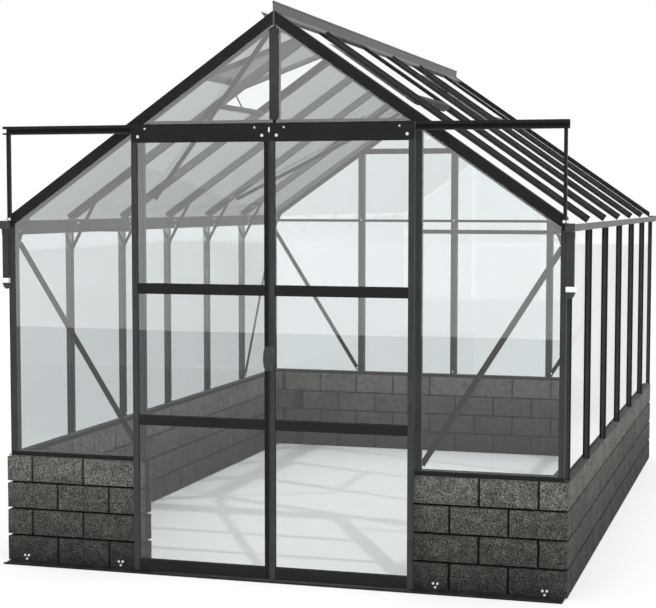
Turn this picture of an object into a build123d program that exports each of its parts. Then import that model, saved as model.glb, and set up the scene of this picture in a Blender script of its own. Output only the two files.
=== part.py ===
"""Glass greenhouse on a block dwarf wall, with two sliding doors and four roof vents.

Units are millimetres. +X runs to the right across the front, +Y into the house and +Z up.
The pieces are modelled with Y = 0 on the front frame's face and Z = 0 on the ground, and
write_part() then moves them so that the middle of the whole outline lies at X = Y = 0.
"""
import math
import os

from build123d import *

# House: overall sizes of the frame, measured over the outer faces of its posts.
house_width = 2980.0
house_length = 4440.0
eave_height = 1868.0
roof_pitch = 34.88
width_bays = 4
length_bays = 6

# Dwarf wall of blocks.
wall_height = 578.0
wall_thickness = 100.0
wall_proud = 16.0
side_wall_proud = 22.0
doorway_reveal = 25.0

# Frame members.
frame_depth = 50.0
sill_height = 22.0
sill_width = 64.0
sill_base_thickness = 3.0
corner_post_width = 50.0
corner_flange_width = 30.0
bar_width = 45.0
bar_neck_width = 20.0
slim_bar_width = 16.0
slim_neck_width = 8.0
slim_bar_lip = 6.0
side_bar_stand = 22.0
corner_wing_setback = 28.0
flange_thickness = 6.0
glass_thickness = 4.0
gable_rafter_depth = 64.0
gable_flange_depth = 54.0
roof_bar_depth = 40.0
roof_bar_overhang = 17.0
eave_beam_drop = 33.0
eave_beam_height = 70.0
eave_upstand = 20.0
cross_bar_drop = 63.0
cross_bar_height = 20.0
cross_bar_depth = 25.0
gable_beam_rise = 20.0
gable_beam_height = 42.0

# Ridge.
ridge_core_width = 36.0
ridge_core_depth = 70.0
crest_thickness = 8.0
crest_rise = 39.0
crest_bead_radius = 7.5
flashing_drop = 11.0
flashing_reach = 70.0
flashing_thickness = 6.0

# Gutters and downpipes.
gutter_width = 40.0
gutter_height = 36.0
gutter_drop = 32.0
gutter_wall = 3.0
gutter_overhang = 36.0
gutter_cap_length = 8.0
gutter_cap_lip = 4.0
pipe_size = 38.0
pipe_length = 266.0
collar_width = 54.0
collar_height = 26.0
spout_height = 32.0
spout_top_radius = 26.0
spout_tip_radius = 9.0

# Braces, struts and gusset plates.
plate_thickness = 4.0
brace_width = 20.0
brace_thickness = 4.0
roof_brace_web = 20.0
strut_width = 18.0
strut_thickness = 6.0
strut_drop = 82.0
strut_reach = 130.0
gusset_reach = 60.0
gusset_drop = 130.0
foot_plate_size = 44.0

# Roof vents.
vent_bays = (2, 5)
open_left_bay = 2
vent_length = 650.0
vent_frame_width = 28.0
vent_bottom_rail = 40.0
vent_frame_thickness = 28.0
vent_rise = 8.0
vent_glass_lift = 4.0
vent_side_gap = 3.0
vent_hinge_gap = 3.0
vent_open_angle = 15.0
vent_sill_width = 25.0
stay_width = 14.0
stay_thickness = 5.0
stay_length = 170.0

# Sliding doors, their track and their guide.
leaf_lap = 6.0
leaf_gap = 5.0
leaf_thickness = 24.0
leaf_bottom = 14.0
leaf_track_gap = 6.0
outer_stile_width = 30.0
meeting_stile_width = 25.0
header_height = 91.0
header_top = 2338.0
bottom_rail_top = 75.0
middle_rail_height = 50.0
middle_rail_bottoms = (784.0, 1469.0)
track_overhang = 10.0
track_height = 43.0
track_depth = 45.0
track_wall = 4.0
track_lip_height = 10.0
roller_radius = 13.0
roller_width = 12.0
roller_back_gap = 10.0
roller_clearance = 0.3
roller_inset = 60.0
axle_radius = 4.0
strap_width = 16.0
strap_depth = 24.0
strap_lap = 32.0
guide_height = 10.0
guide_wall = 6.0
guide_front = 100.0
handle_bottom = 1085.0
handle_height = 125.0
handle_width = 20.0
handle_thickness = 10.0
grip_width = 8.0
grip_depth = 16.0

# Running clearance between neighbouring pieces that share a node.
node_gap = 1.0

# Sizes worked out from the values above.
half_width = house_width / 2
pitch_tan = math.tan(math.radians(roof_pitch))
pitch_cos = math.cos(math.radians(roof_pitch))
pitch_sin = math.sin(math.radians(roof_pitch))
apex_height = eave_height + half_width * pitch_tan
bay_width = house_width / width_bays
bay_length = house_length / length_bays
sill_top = wall_height + sill_height
wall_face = half_width + side_wall_proud
half_doorway = bay_width - doorway_reveal
glass_front = flange_thickness
glass_back = flange_thickness + glass_thickness
roof_bar_bottom = -roof_bar_depth
roof_glass_bottom = roof_bar_bottom + slim_bar_lip
roof_glass_top = roof_glass_bottom + glass_thickness
vent_bottom = vent_rise - vent_frame_thickness
roof_bar_run = half_width / pitch_cos + roof_bar_overhang
slim_inner_face = half_width - glass_back - slim_bar_lip
sill_base_top = wall_height + sill_base_thickness
inner_face = half_width - frame_depth
eave_beam_top = eave_height - eave_beam_drop
eave_beam_bottom = eave_beam_top - eave_beam_height
cross_bar_top = eave_height - cross_bar_drop
gable_beam_top = header_top + gable_beam_rise
crest_top = apex_height + crest_rise
gutter_top = eave_height - gutter_drop
gutter_bottom = gutter_top - gutter_height
pipe_bottom = gutter_bottom - pipe_length
strut_post_height = eave_beam_bottom - strut_drop
half_ridge = ridge_core_width / 2
half_crest = crest_thickness / 2
jamb_centre = bay_width
leaf_width = jamb_centre + leaf_lap - leaf_gap / 2
half_track = half_width + track_overhang
leaf_back = -(track_depth + leaf_track_gap)
leaf_front = leaf_back - leaf_thickness
track_bottom = header_top - track_height
track_floor = track_bottom + track_wall
guide_back = -wall_proud
outline_front = -guide_front
outline_back = house_length + max(wall_proud, gutter_overhang + gutter_cap_length)
outline_middle = (outline_front + outline_back) / 2
far_above = 2 * apex_height


def box(x, y, z):
    """Box between the low and high values of each axis."""
    size = (x[1] - x[0], y[1] - y[0], z[1] - z[0])
    middle = ((x[0] + x[1]) / 2, (y[0] + y[1]) / 2, (z[0] + z[1]) / 2)
    return Pos(*middle) * Box(*size)


def prism_y(points, y):
    """Outline of (x, z) points, carried from y[0] to y[1]."""
    plane = Plane(origin=(0, y[0], 0), x_dir=(1, 0, 0), z_dir=(0, -1, 0))
    return extrude(plane * Polygon(*points, align=None), y[1] - y[0], dir=(0, 1, 0))


def roof_z(x, offset):
    """Height at x of the line that runs parallel to the right slope, offset above it."""
    return apex_height - x * pitch_tan + offset / pitch_cos


def sloped(x, y, offsets):
    """Bar along the right slope with plumb ends, between two offsets from the slope line."""
    low, high = offsets
    points = [
        (x[0], roof_z(x[0], low)),
        (x[1], roof_z(x[1], low)),
        (x[1], roof_z(x[1], high)),
        (x[0], roof_z(x[0], high)),
    ]
    return prism_y(points, y)


def flat_strip(plane, start, end, width, low, high):
    """Flat strip from start to end in a plane, between two heights above that plane."""
    run = math.hypot(end[0] - start[0], end[1] - start[1])
    across_u = -(end[1] - start[1]) / run * width / 2
    across_v = (end[0] - start[0]) / run * width / 2
    points = [
        (start[0] - across_u, start[1] - across_v),
        (end[0] - across_u, end[1] - across_v),
        (end[0] + across_u, end[1] + across_v),
        (start[0] + across_u, start[1] + across_v),
    ]
    base = plane.offset(low)
    return extrude(base * Polygon(*points, align=None), high - low, dir=plane.z_dir)


def mirrored(shape):
    """The same shape on the other side of the house."""
    return mirror(shape, about=Plane.YZ)


def both_sides(shapes):
    """The given right-hand shapes, then their left-hand images."""
    return list(shapes) + [mirrored(shape) for shape in shapes]


def write_part(name, shapes):
    """Write one node, moved so that the outline's middle is at Y = 0."""
    pieces = shapes if isinstance(shapes, list) else [shapes]
    solids = [solid for piece in pieces for solid in piece.solids()]
    moved = [Pos(0, -outline_middle, 0) * solid for solid in solids]
    whole = moved[0] if len(moved) == 1 else Compound(children=moved)
    export_step(whole, f"parts/{name}.step")


def front_or_back(y_front, at_back):
    """Depth range measured in from the front face, or in from the back face."""
    if at_back:
        return (house_length - y_front[1], house_length - y_front[0])
    return y_front


# ---------------------------------------------------------------- dwarf wall and sills

def side_walls():
    x = (wall_face - wall_thickness, wall_face)
    y = (-wall_proud, house_length + wall_proud)
    return both_sides([box(x, y, (0, wall_height))])


def front_walls():
    x = (half_doorway, wall_face - wall_thickness)
    y = (-wall_proud, wall_thickness - wall_proud)
    return both_sides([box(x, y, (0, wall_height))])


def back_wall():
    inside = wall_face - wall_thickness
    y = (house_length + wall_proud - wall_thickness, house_length + wall_proud)
    return box((-inside, inside), y, (0, wall_height))


def side_sill():
    """Right-hand rail: a base under the glass and bars, a body inside them and post seats."""
    inner = half_width - sill_width
    rail = box((inner, wall_face), (0, house_length), (wall_height, sill_base_top))
    z = (sill_base_top, sill_top)
    rail += box((inner, slim_inner_face), (0, house_length), z)
    for at_back in (False, True):
        y = front_or_back((0, corner_post_width), at_back)
        rail += box((slim_inner_face, half_width), y, z)
    return rail


def sill_rails():
    """Rails on the wall: two long ones, and short ones fitted between them."""
    z = (wall_height, sill_top)
    sides = both_sides([side_sill()])
    between = half_width - sill_width - node_gap
    fronts = both_sides([box((half_doorway, between), (0, sill_width), z)])
    back_y = (house_length - sill_width, house_length)
    return sides + fronts + [box((-between, between), back_y, z)]


# ---------------------------------------------------------------- posts and glazing bars

def plumb_bar(x, y, flange_x, flange_y, neck_x, neck_y, z):
    """Upright bar: a body, a neck between the glass edges and a flange."""
    return box(x, y, z) + box(neck_x, neck_y, z) + box(flange_x, flange_y, z)


def under_roof(shape, offset):
    """The shape, cut off at a line parallel to both slopes."""
    reach = house_width
    cut = sloped((0, reach), (-reach, house_length + reach), (offset, far_above))
    return shape - cut - mirrored(cut)


def corner_posts():
    """Four corner posts, cut to the slope under the rafters, each with a wing outside."""
    posts = []
    z = (sill_top, eave_height)
    inner = half_width - corner_post_width
    flange = half_width - corner_flange_width
    for at_back in (False, True):
        body = box((inner, half_width), front_or_back((glass_back, frame_depth), at_back), z)
        front = box((flange, half_width), front_or_back((0, glass_back), at_back), z)
        wing_y = front_or_back((corner_wing_setback, frame_depth), at_back)
        wing_x = (half_width, half_width + side_bar_stand)
        wing = box(wing_x, wing_y, (sill_base_top, gutter_bottom))
        posts.append(under_roof(body + front, -gable_rafter_depth) + wing)
    return both_sides(posts)


def end_bar(x_middle, z, at_back, offset=-gable_rafter_depth):
    """Glazing bar of a gable wall, cut to the slopes at its top."""
    body = (x_middle - bar_width / 2, x_middle + bar_width / 2)
    neck = (x_middle - bar_neck_width / 2, x_middle + bar_neck_width / 2)
    bar = plumb_bar(
        body, front_or_back((glass_back, frame_depth), at_back),
        body, front_or_back((0, glass_front), at_back),
        neck, front_or_back((glass_front, glass_back), at_back), z,
    )
    return under_roof(bar, offset)


def door_jambs():
    return both_sides([end_bar(jamb_centre, (sill_top, apex_height), False)])


def back_wall_bars():
    """Three glazing bars; the middle one runs up to the ridge."""
    z = (sill_top, apex_height)
    outer = both_sides([end_bar(bay_width, z, True)])
    return outer + [end_bar(0, z, True) - crest_plate()]


def front_gable_bar():
    """Upright bar between the door lintel and the ridge."""
    z = (gable_beam_top, apex_height)
    return end_bar(0, z, False) - crest_plate()


def side_wall_bars():
    """Five slim glazing bars a side, mostly outside the glass, from the sill to the gutter."""
    bars = []
    z = (sill_base_top, gutter_bottom)
    glass = (half_width - glass_back, half_width - glass_front)
    for bay in range(1, length_bays):
        middle = bay * bay_length
        body = (middle - slim_bar_width / 2, middle + slim_bar_width / 2)
        neck = (middle - slim_neck_width / 2, middle + slim_neck_width / 2)
        bars.append(plumb_bar(
            (glass[1], half_width + side_bar_stand), body,
            (slim_inner_face, glass[0]), body, glass, neck, z,
        ))
    return both_sides(bars)


def gable_beams():
    """Door lintel between the jambs, and the back beam's two halves."""
    half_bar = bar_width / 2
    z = (gable_beam_top - gable_beam_height, gable_beam_top)
    inner = jamb_centre - half_bar
    lintel = box((-inner, inner), (glass_back, frame_depth), z)
    y_back = front_or_back((glass_back, frame_depth), True)
    back = box((half_bar, bay_width - half_bar), y_back, z)
    halves = [under_roof(half, -gable_rafter_depth) for half in both_sides([back])]
    return [under_roof(lintel, -gable_rafter_depth)] + halves


def cross_bars():
    """Level bars at eave height, fitted between the posts of both gable walls."""
    z = (cross_bar_top - cross_bar_height, cross_bar_top)
    half_bar = bar_width / 2
    outer = (bay_width + half_bar, half_width - corner_post_width)
    inner = (half_bar, bay_width - half_bar)
    y = (frame_depth - cross_bar_depth, frame_depth)
    bars = [box(outer, front_or_back(y, False), z)]
    bars += [box(x, front_or_back(y, True), z) for x in (outer, inner)]
    return both_sides([under_roof(bar, -gable_rafter_depth) for bar in bars])


# ---------------------------------------------------------------- roof frame

def gable_rafters():
    """Four rafters over the end walls, with a flange outside the glass edge."""
    rafters = []
    x = (half_crest, half_width)
    for at_back in (False, True):
        body_y = front_or_back((glass_back, frame_depth), at_back)
        flange_y = front_or_back((0, glass_back), at_back)
        body = sloped(x, body_y, (-gable_rafter_depth, 0))
        flange = sloped(x, flange_y, (-gable_flange_depth, 0))
        rafters.append(body + flange)
    return both_sides(rafters)


def roof_bar(middle):
    """Slim roof bar, seated on the eave beam, mostly above the glass that it holds."""
    body_y = (middle - slim_bar_width / 2, middle + slim_bar_width / 2)
    neck_y = (middle - slim_neck_width / 2, middle + slim_neck_width / 2)
    upstand = half_width - eave_upstand
    lip = sloped((half_ridge, upstand), body_y, (roof_bar_bottom, roof_glass_bottom))
    seat = box((inner_face, half_width), body_y, (0, eave_beam_top))
    neck = sloped((half_ridge, half_width), neck_y, (roof_glass_bottom, roof_glass_top))
    past_flashing = flashing_reach + node_gap
    under = sloped((half_ridge, past_flashing), body_y, (roof_glass_top, -flashing_drop))
    body = slope_plane().location * box((past_flashing, roof_bar_run), body_y, (roof_glass_top, 0))
    return (lip - seat) + neck + under + body


def roof_bars():
    return both_sides([roof_bar(bay * bay_length) for bay in range(1, length_bays)])


def crest_heights():
    """Height range of the crest plate, from the core's underside to the bead."""
    return (roof_z(half_ridge, -flashing_drop) - ridge_core_depth, crest_top)


def crest_plate():
    """Upright plate of the ridge, from end to end of the house."""
    return box((-half_crest, half_crest), (0, house_length), crest_heights())


def crest():
    """Crest plate with the round bead along its top, as one outline."""
    low, high = crest_heights()
    plate = Pos(0, (low + high) / 2) * Rectangle(crest_thickness, high - low)
    bead = Pos(0, high) * Circle(crest_bead_radius)
    plane = Plane(origin=(0, 0, 0), x_dir=(1, 0, 0), z_dir=(0, -1, 0))
    return extrude(plane * (plate + bead), house_length, dir=(0, 1, 0))


def slope_point(u, offset):
    """The (x, z) of a point u down the right slope and offset above its line."""
    x = u * pitch_cos + offset * pitch_sin
    return (x, apex_height - u * pitch_sin + offset * pitch_cos)


def ridge_beam():
    """Ridge: a core that the bars meet, a flashing over each slope and the crest."""
    inside = (frame_depth, house_length - frame_depth)
    top = -flashing_drop + flashing_thickness
    right = [
        slope_point(flashing_reach, top),
        slope_point(flashing_reach, -flashing_drop),
        (half_ridge, roof_z(half_ridge, -flashing_drop)),
        (half_ridge, crest_heights()[0]),
    ]
    left = [(-x, z) for x, z in reversed(right)]
    core = prism_y([(0, roof_z(0, top))] + right + left, inside)
    return core + crest()


def eave_beam():
    """Beam over the right wall, inside its glass below, with an upstand for the roof glass."""
    inside = (frame_depth, house_length - frame_depth)
    lower = box((inner_face, slim_inner_face), inside, (eave_beam_bottom, gutter_bottom))
    upper = box((inner_face, half_width), inside, (gutter_bottom, eave_beam_top))
    upstand_x = (half_width - eave_upstand, half_width)
    upstand = box(upstand_x, inside, (gutter_bottom, eave_height))
    return under_roof(lower + upper + upstand, roof_glass_bottom)


def eave_beams():
    return both_sides([eave_beam()])


# ---------------------------------------------------------------- rainwater

def gutters():
    """Open channels under the roof glass, along both sides."""
    x = (half_width, half_width + gutter_width)
    y = (-gutter_overhang, house_length + gutter_overhang)
    outer = box(x, y, (gutter_bottom, gutter_top))
    inside_x = (x[0] + gutter_wall, x[1] - gutter_wall)
    inside_z = (gutter_bottom + gutter_wall, far_above)
    channel = outer - box(inside_x, y, inside_z)
    glass_edge = roof_z(half_width, roof_glass_bottom) - node_gap
    low_wall = box((x[0], inside_x[0]), (0, house_length), (glass_edge, far_above))
    return both_sides([channel - low_wall])


def gutter_end_caps():
    """Plates that close the ends of the gutters, with a small lip outside."""
    x = (half_width - gutter_cap_lip, half_width + gutter_width + gutter_cap_lip)
    z = (gutter_bottom - gutter_cap_lip, gutter_top + gutter_cap_lip)
    front = (-gutter_overhang - gutter_cap_length, -gutter_overhang)
    return both_sides([box(x, front_or_back(front, end), z) for end in (False, True)])


def downpipe_middle():
    return half_width + gutter_width / 2


def downpipes():
    half = pipe_size / 2
    middle = downpipe_middle()
    z = (pipe_bottom, gutter_bottom)
    pipe = box((middle - half, middle + half), (-half, half), z)
    pipe = fillet(pipe.edges().filter_by(Axis.Z), half / 3)
    return both_sides([pipe])


def downpipe_collars():
    """Square rings under the pipes' ends."""
    half = collar_width / 2
    middle = downpipe_middle()
    z = (pipe_bottom - collar_height, pipe_bottom)
    x = (max(half_width, middle - half), middle + half)
    collar = box(x, (-half, half), z)
    collar = fillet(collar.edges().filter_by(Axis.Z), half / 4)
    return both_sides([collar])


def downpipe_spouts():
    """Tapered outlets below the collars."""
    top = pipe_bottom - collar_height
    middle = top - spout_height / 2
    spout = Pos(downpipe_middle(), 0, middle) * Cone(
        spout_tip_radius, spout_top_radius, spout_height)
    keep = box((half_width, 2 * half_width), (-half_width, half_width), (0, top))
    return both_sides([spout & keep])


# ---------------------------------------------------------------- plates and braces

def corner_gussets():
    """Plates inside the four corners, and foot plates where the braces end."""
    plates = []
    inner = half_width - corner_post_width
    outer = half_width - glass_back
    foot_x = jamb_centre + bar_width / 2
    for at_back in (False, True):
        y = front_or_back((frame_depth, frame_depth + plate_thickness), at_back)
        corner = [
            (outer, roof_z(outer, roof_glass_bottom)),
            (outer, eave_beam_bottom - gusset_drop),
            (inner, eave_beam_bottom - gusset_drop),
            (inner - gusset_reach / 2, eave_beam_bottom),
            (inner - gusset_reach, roof_z(inner - gusset_reach, -gable_rafter_depth)),
            (inner - gusset_reach, roof_z(inner - gusset_reach, roof_glass_bottom)),
        ]
        plates.append(prism_y(corner, y) - eave_beam())
        foot = (foot_x - foot_plate_size, foot_x)
        plates.append(box(foot, y, (sill_top, sill_top + foot_plate_size)))
    return both_sides(plates)


def end_wall_plane(at_back):
    """Plane of an end wall's inner face, seen from the front: local (x, z)."""
    depth = frame_depth if not at_back else house_length - frame_depth
    return Plane(origin=(0, depth, 0), x_dir=(1, 0, 0), z_dir=(0, -1, 0))


def wall_braces():
    """Diagonals in the outer bays of the end walls and the last bays of the side walls."""
    braces = []
    low = (jamb_centre + brace_width, sill_top + brace_width)
    high = (half_width - corner_flange_width, eave_beam_bottom - brace_width)
    near = plate_thickness
    far = plate_thickness + brace_thickness
    front = end_wall_plane(False)
    back = end_wall_plane(True)
    braces.append(flat_strip(front, low, high, brace_width, -far, -near))
    braces.append(flat_strip(back, low, high, brace_width, near, far))
    side = Plane(origin=(slim_inner_face, 0, 0), x_dir=(0, 1, 0), z_dir=(1, 0, 0))
    foot = (house_length - bay_length, sill_top + brace_width)
    top = (house_length - frame_depth - plate_thickness - brace_width, high[1])
    braces.append(flat_strip(side, foot, top, brace_width, -brace_thickness, 0))
    return both_sides(braces)


def knee_struts():
    """Short struts between the side wall bars and the roof bars, clear of the eave beam."""
    struts = []
    start = (slim_inner_face, strut_post_height)
    end_x = slim_inner_face - strut_reach
    end = (end_x, roof_z(end_x, roof_bar_bottom))
    for bay in range(1, length_bays):
        plane = Plane(origin=(0, bay * bay_length, 0), x_dir=(1, 0, 0), z_dir=(0, -1, 0))
        half = strut_thickness / 2
        stretch = extended(start, end, strut_width)
        strut = flat_strip(plane, *stretch, strut_width, -half, half)
        strut = under_roof(strut, roof_bar_bottom)
        beyond = box((slim_inner_face, house_width), (0, house_length), (0, apex_height))
        struts.append(strut - beyond - eave_beam())
    return both_sides(struts)


def extended(start, end, extra):
    """The same straight line, made longer by extra at both ends."""
    run = math.hypot(end[0] - start[0], end[1] - start[1])
    step = ((end[0] - start[0]) / run * extra, (end[1] - start[1]) / run * extra)
    return (start[0] - step[0], start[1] - step[1]), (end[0] + step[0], end[1] + step[1])


def slope_plane():
    """Plane of the right slope: local x runs down the slope and local y into the house."""
    return Plane(
        origin=(0, 0, apex_height),
        x_dir=(pitch_cos, 0, -pitch_sin),
        z_dir=(pitch_sin, 0, pitch_cos),
    )


def roof_braces():
    """Tee-shaped diagonals under the roof bars, from both ridge ends to the second bars."""
    braces = []
    under_bars = roof_bar_bottom - brace_thickness
    web = (under_bars - roof_brace_web, roof_bar_bottom)
    ridge_u = (half_ridge - under_bars * pitch_sin) / pitch_cos + brace_width
    foot_u = (slim_inner_face - strut_reach - foot_plate_size) / pitch_cos
    heights = (under_bars, roof_bar_bottom)
    for at_back in (False, True):
        ends = front_or_back((frame_depth + brace_width, 2 * bay_length), at_back)
        ridge_y, foot_y = (ends[1], ends[0]) if at_back else ends
        line = ((ridge_u, ridge_y), (foot_u, foot_y))
        flange = flat_strip(slope_plane(), *line, brace_width, *heights)
        braces.append(flange + flat_strip(slope_plane(), *line, brace_thickness, *web))
    return both_sides(braces)


# ---------------------------------------------------------------- roof vents

def vent_y(bay):
    """Depth range of the sash in a bay."""
    beside = slim_bar_width / 2 + vent_side_gap
    return ((bay - 1) * bay_length + beside, bay * bay_length - beside)


def vent_u():
    """Slope range of the sash, from the flashing down."""
    top = flashing_reach + vent_hinge_gap
    return (top, top + vent_length)


def vent_swing(is_open):
    """Place of a sash: closed between the bars, or turned up about its upper ridge edge."""
    plane = slope_plane()
    if not is_open:
        return plane.location * Pos(0, 0, vent_bottom)
    hinge = Pos(vent_u()[0], 0, vent_rise)
    from_hinge = Pos(-vent_u()[0], 0, -vent_frame_thickness)
    return plane.location * hinge * Rot(0, -vent_open_angle, 0) * from_hinge


def vent_frame(bay, is_open):
    """Sash frame round one pane."""
    u = vent_u()
    y = vent_y(bay)
    outer = box(u, y, (0, vent_frame_thickness))
    hole_u = (u[0] + vent_frame_width, u[1] - vent_bottom_rail)
    hole_y = (y[0] + vent_frame_width, y[1] - vent_frame_width)
    frame = outer - box(hole_u, hole_y, (-1, vent_frame_thickness + 1))
    return vent_swing(is_open) * frame


def vent_pane(bay, is_open):
    u = vent_u()
    y = vent_y(bay)
    hole_u = (u[0] + vent_frame_width, u[1] - vent_bottom_rail)
    hole_y = (y[0] + vent_frame_width, y[1] - vent_frame_width)
    z = (vent_glass_lift, vent_glass_lift + glass_thickness)
    return vent_swing(is_open) * box(hole_u, hole_y, z)


def vent_frames():
    """Closed sashes on the right slope; on the left the front one stands open."""
    closed = [vent_frame(bay, False) for bay in vent_bays]
    return closed + [mirrored(vent_frame(bay, bay == open_left_bay)) for bay in vent_bays]


def vent_glass():
    closed = [vent_pane(bay, False) for bay in vent_bays]
    return closed + [mirrored(vent_pane(bay, bay == open_left_bay)) for bay in vent_bays]


def vent_sill_u():
    """Slope range of the cross bar under the sash's lower edge."""
    end = vent_u()[1]
    return (end - vent_sill_width, end)


def vent_sill_bar(bay):
    """Cross bar between two roof bars, with an edge that the sash closes on."""
    half = slim_bar_width / 2
    y = ((bay - 1) * bay_length + half, bay * bay_length - half)
    low = box(vent_sill_u(), y, (roof_bar_bottom, roof_glass_bottom))
    edge_u = (vent_sill_u()[0], vent_sill_u()[1] - vent_sill_width / 2)
    edge = box(edge_u, y, (roof_glass_bottom, vent_bottom))
    return slope_plane().location * (low + edge)


def vent_sill_bars():
    """Cross bars between the roof bars, where the fixed glass starts."""
    return both_sides([vent_sill_bar(bay) for bay in vent_bays])


def vent_stays():
    """Stay arms: folded under the closed sashes, and standing under the open one."""
    closed = [closed_stay(bay) for bay in vent_bays]
    left = [open_stay(bay) if bay == open_left_bay else closed_stay(bay) for bay in vent_bays]
    return closed + [mirrored(stay) for stay in left]


def closed_stay(bay):
    """Arm that lies along the underside of the sill bar, pointing at the ridge."""
    middle = (bay - 0.5) * bay_length
    end = vent_sill_u()[1]
    y = (middle - stay_width / 2, middle + stay_width / 2)
    z = (roof_bar_bottom - stay_thickness, roof_bar_bottom)
    return slope_plane().location * box((end - stay_length, end), y, z)


def open_stay(bay):
    """Arm that stands on the sill bar and reaches the underside of the open sash."""
    middle = (bay - 0.5) * bay_length
    hinge_u, end_u = vent_u()
    angle = math.radians(vent_open_angle)
    run = end_u - vent_frame_width - hinge_u
    foot = (vent_sill_u()[0] + stay_thickness, vent_bottom)
    head_u = hinge_u + run * math.cos(angle) + vent_frame_thickness * math.sin(angle)
    head_height = run * math.sin(angle) - vent_frame_thickness * math.cos(angle)
    head = (head_u, vent_rise + head_height)
    plane = Plane(
        origin=slope_plane().from_local_coords(Vector(0, middle, 0)),
        x_dir=slope_plane().x_dir,
        z_dir=(0, -1, 0),
    )
    half = stay_width / 2
    arm = flat_strip(
        plane, *extended(foot, head, stay_thickness), stay_thickness, -half, half)
    return arm - vent_frame(bay, True) - vent_sill_bar(bay)


# ---------------------------------------------------------------- fixed glass

def side_wall_glass():
    """Six panes a side, held between the bars' necks."""
    panes = []
    x = (half_width - glass_back, half_width - glass_front)
    z = (sill_base_top, gutter_bottom)
    half = slim_neck_width / 2
    for bay in range(length_bays):
        start = corner_post_width if bay == 0 else bay * bay_length + half
        end = (bay + 1) * bay_length - half
        if bay == length_bays - 1:
            end = house_length - corner_post_width
        panes.append(box(x, (start, end), z))
    return both_sides(panes)


def end_pane(x, z, at_back, offset):
    """Pane of an end wall, cut to the slope along its top."""
    y = front_or_back((glass_front, glass_back), at_back)
    return under_roof(box(x, y, z), offset)


def front_wall_glass():
    """Panes beside the doorway, and the two gable panes over the lintel."""
    half = bar_neck_width / 2
    z = (sill_top, apex_height)
    side = (jamb_centre + half, half_width - corner_flange_width)
    gable = (half, jamb_centre - half)
    low = gable_beam_top - gable_beam_height
    return both_sides([
        end_pane(side, z, False, -gable_flange_depth),
        end_pane(gable, (low, apex_height), False, -gable_flange_depth),
    ])


def back_wall_glass():
    """Four panes of the back wall, each running up to the rafters."""
    half = bar_neck_width / 2
    z = (sill_top, apex_height)
    outer = (bay_width + half, half_width - corner_flange_width)
    inner = (half, bay_width - half)
    return both_sides([end_pane(x, z, True, -gable_flange_depth) for x in (outer, inner)])


def roof_glass():
    """Six panes a side; the two under the vents start at the vent sill."""
    panes = []
    half = slim_neck_width / 2
    for bay in range(length_bays):
        start = frame_depth if bay == 0 else bay * bay_length + half
        end = (bay + 1) * bay_length - half
        if bay == length_bays - 1:
            end = house_length - frame_depth
        heights = (roof_glass_bottom, roof_glass_top)
        pane = sloped((half_ridge, half_width), (start, end), heights)
        if bay + 1 in vent_bays:
            above = (0, vent_sill_u()[1] - vent_sill_width / 2)
            room = (-frame_depth, frame_depth)
            pane = pane - slope_plane().location * box(above, (start, end), room)
        panes.append(pane)
    return both_sides(panes)


# ---------------------------------------------------------------- door track and guide

def door_track():
    """Channel over the doorway, open to the front, with a lip along both edges."""
    length = (-half_track, half_track)
    outer = box(length, (-track_depth, 0), (track_bottom, header_top))
    inner_z = (track_floor, header_top - track_wall)
    inner = box(length, (-track_depth + track_wall, -track_wall), inner_z)
    mouth_z = (track_floor + track_lip_height / 2, header_top - track_wall - track_lip_height)
    mouth = box(length, (-track_depth, -track_wall), mouth_z)
    return outer - inner - mouth


def track_straps():
    """Upright straps that carry the track's ends from the rafters' feet."""
    x = (half_width - strap_width, half_width)
    z = (roof_z(half_width, 0) - strap_lap, track_bottom)
    return both_sides([box(x, (-strap_depth, 0), z)])


def door_guide_rail():
    """Channel on the ground, in which the leaves' lower edges run."""
    length = (-half_track, half_track)
    outer = box(length, (-guide_front, guide_back), (0, guide_height))
    channel_y = (-guide_front + guide_wall, guide_back - guide_wall)
    return outer - box(length, channel_y, (guide_wall, guide_height))


# ---------------------------------------------------------------- door leaves

def leaf_x():
    """Width range of the right leaf."""
    return (leaf_gap / 2, leaf_gap / 2 + leaf_width)


def leaf_y():
    return (leaf_front, leaf_back)


def door_stiles():
    x = leaf_x()
    z = (leaf_bottom, header_top - header_height)
    meeting = box((x[0], x[0] + meeting_stile_width), leaf_y(), z)
    outer = box((x[1] - outer_stile_width, x[1]), leaf_y(), z)
    return [meeting, outer]


def pane_x():
    """Width range between a leaf's stiles."""
    x = leaf_x()
    return (x[0] + meeting_stile_width, x[1] - outer_stile_width)


def rail_levels():
    """Height ranges of the rails, from the bottom up."""
    middle = [(bottom, bottom + middle_rail_height) for bottom in middle_rail_bottoms]
    return [(leaf_bottom, bottom_rail_top)] + middle


def door_rails():
    return [box(pane_x(), leaf_y(), z) for z in rail_levels()]


def door_header():
    """Deep plate over the leaf, in front of the track."""
    return [box(leaf_x(), leaf_y(), (header_top - header_height, header_top))]


def door_glass():
    """Three panes between the rails."""
    middle = (leaf_front + leaf_back) / 2
    y = (middle - glass_thickness / 2, middle + glass_thickness / 2)
    lows = [level[1] for level in rail_levels()]
    highs = [level[0] for level in rail_levels()[1:]] + [header_top - header_height]
    return [box(pane_x(), y, z) for z in zip(lows, highs)]


def door_handle():
    """Upright pull on the meeting stile, with a raised grip along its outer edge."""
    start = leaf_x()[0]
    z = (handle_bottom, handle_bottom + handle_height)
    plate_y = (leaf_front - handle_thickness, leaf_front)
    grip_y = (leaf_front - grip_depth, leaf_front)
    plate = box((start, start + handle_width), plate_y, z)
    grip_x = (start + handle_width, start + handle_width + grip_width)
    grip_z = (z[0] + grip_width, z[1] - grip_width)
    return [plate + box(grip_x, grip_y, grip_z)]


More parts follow.
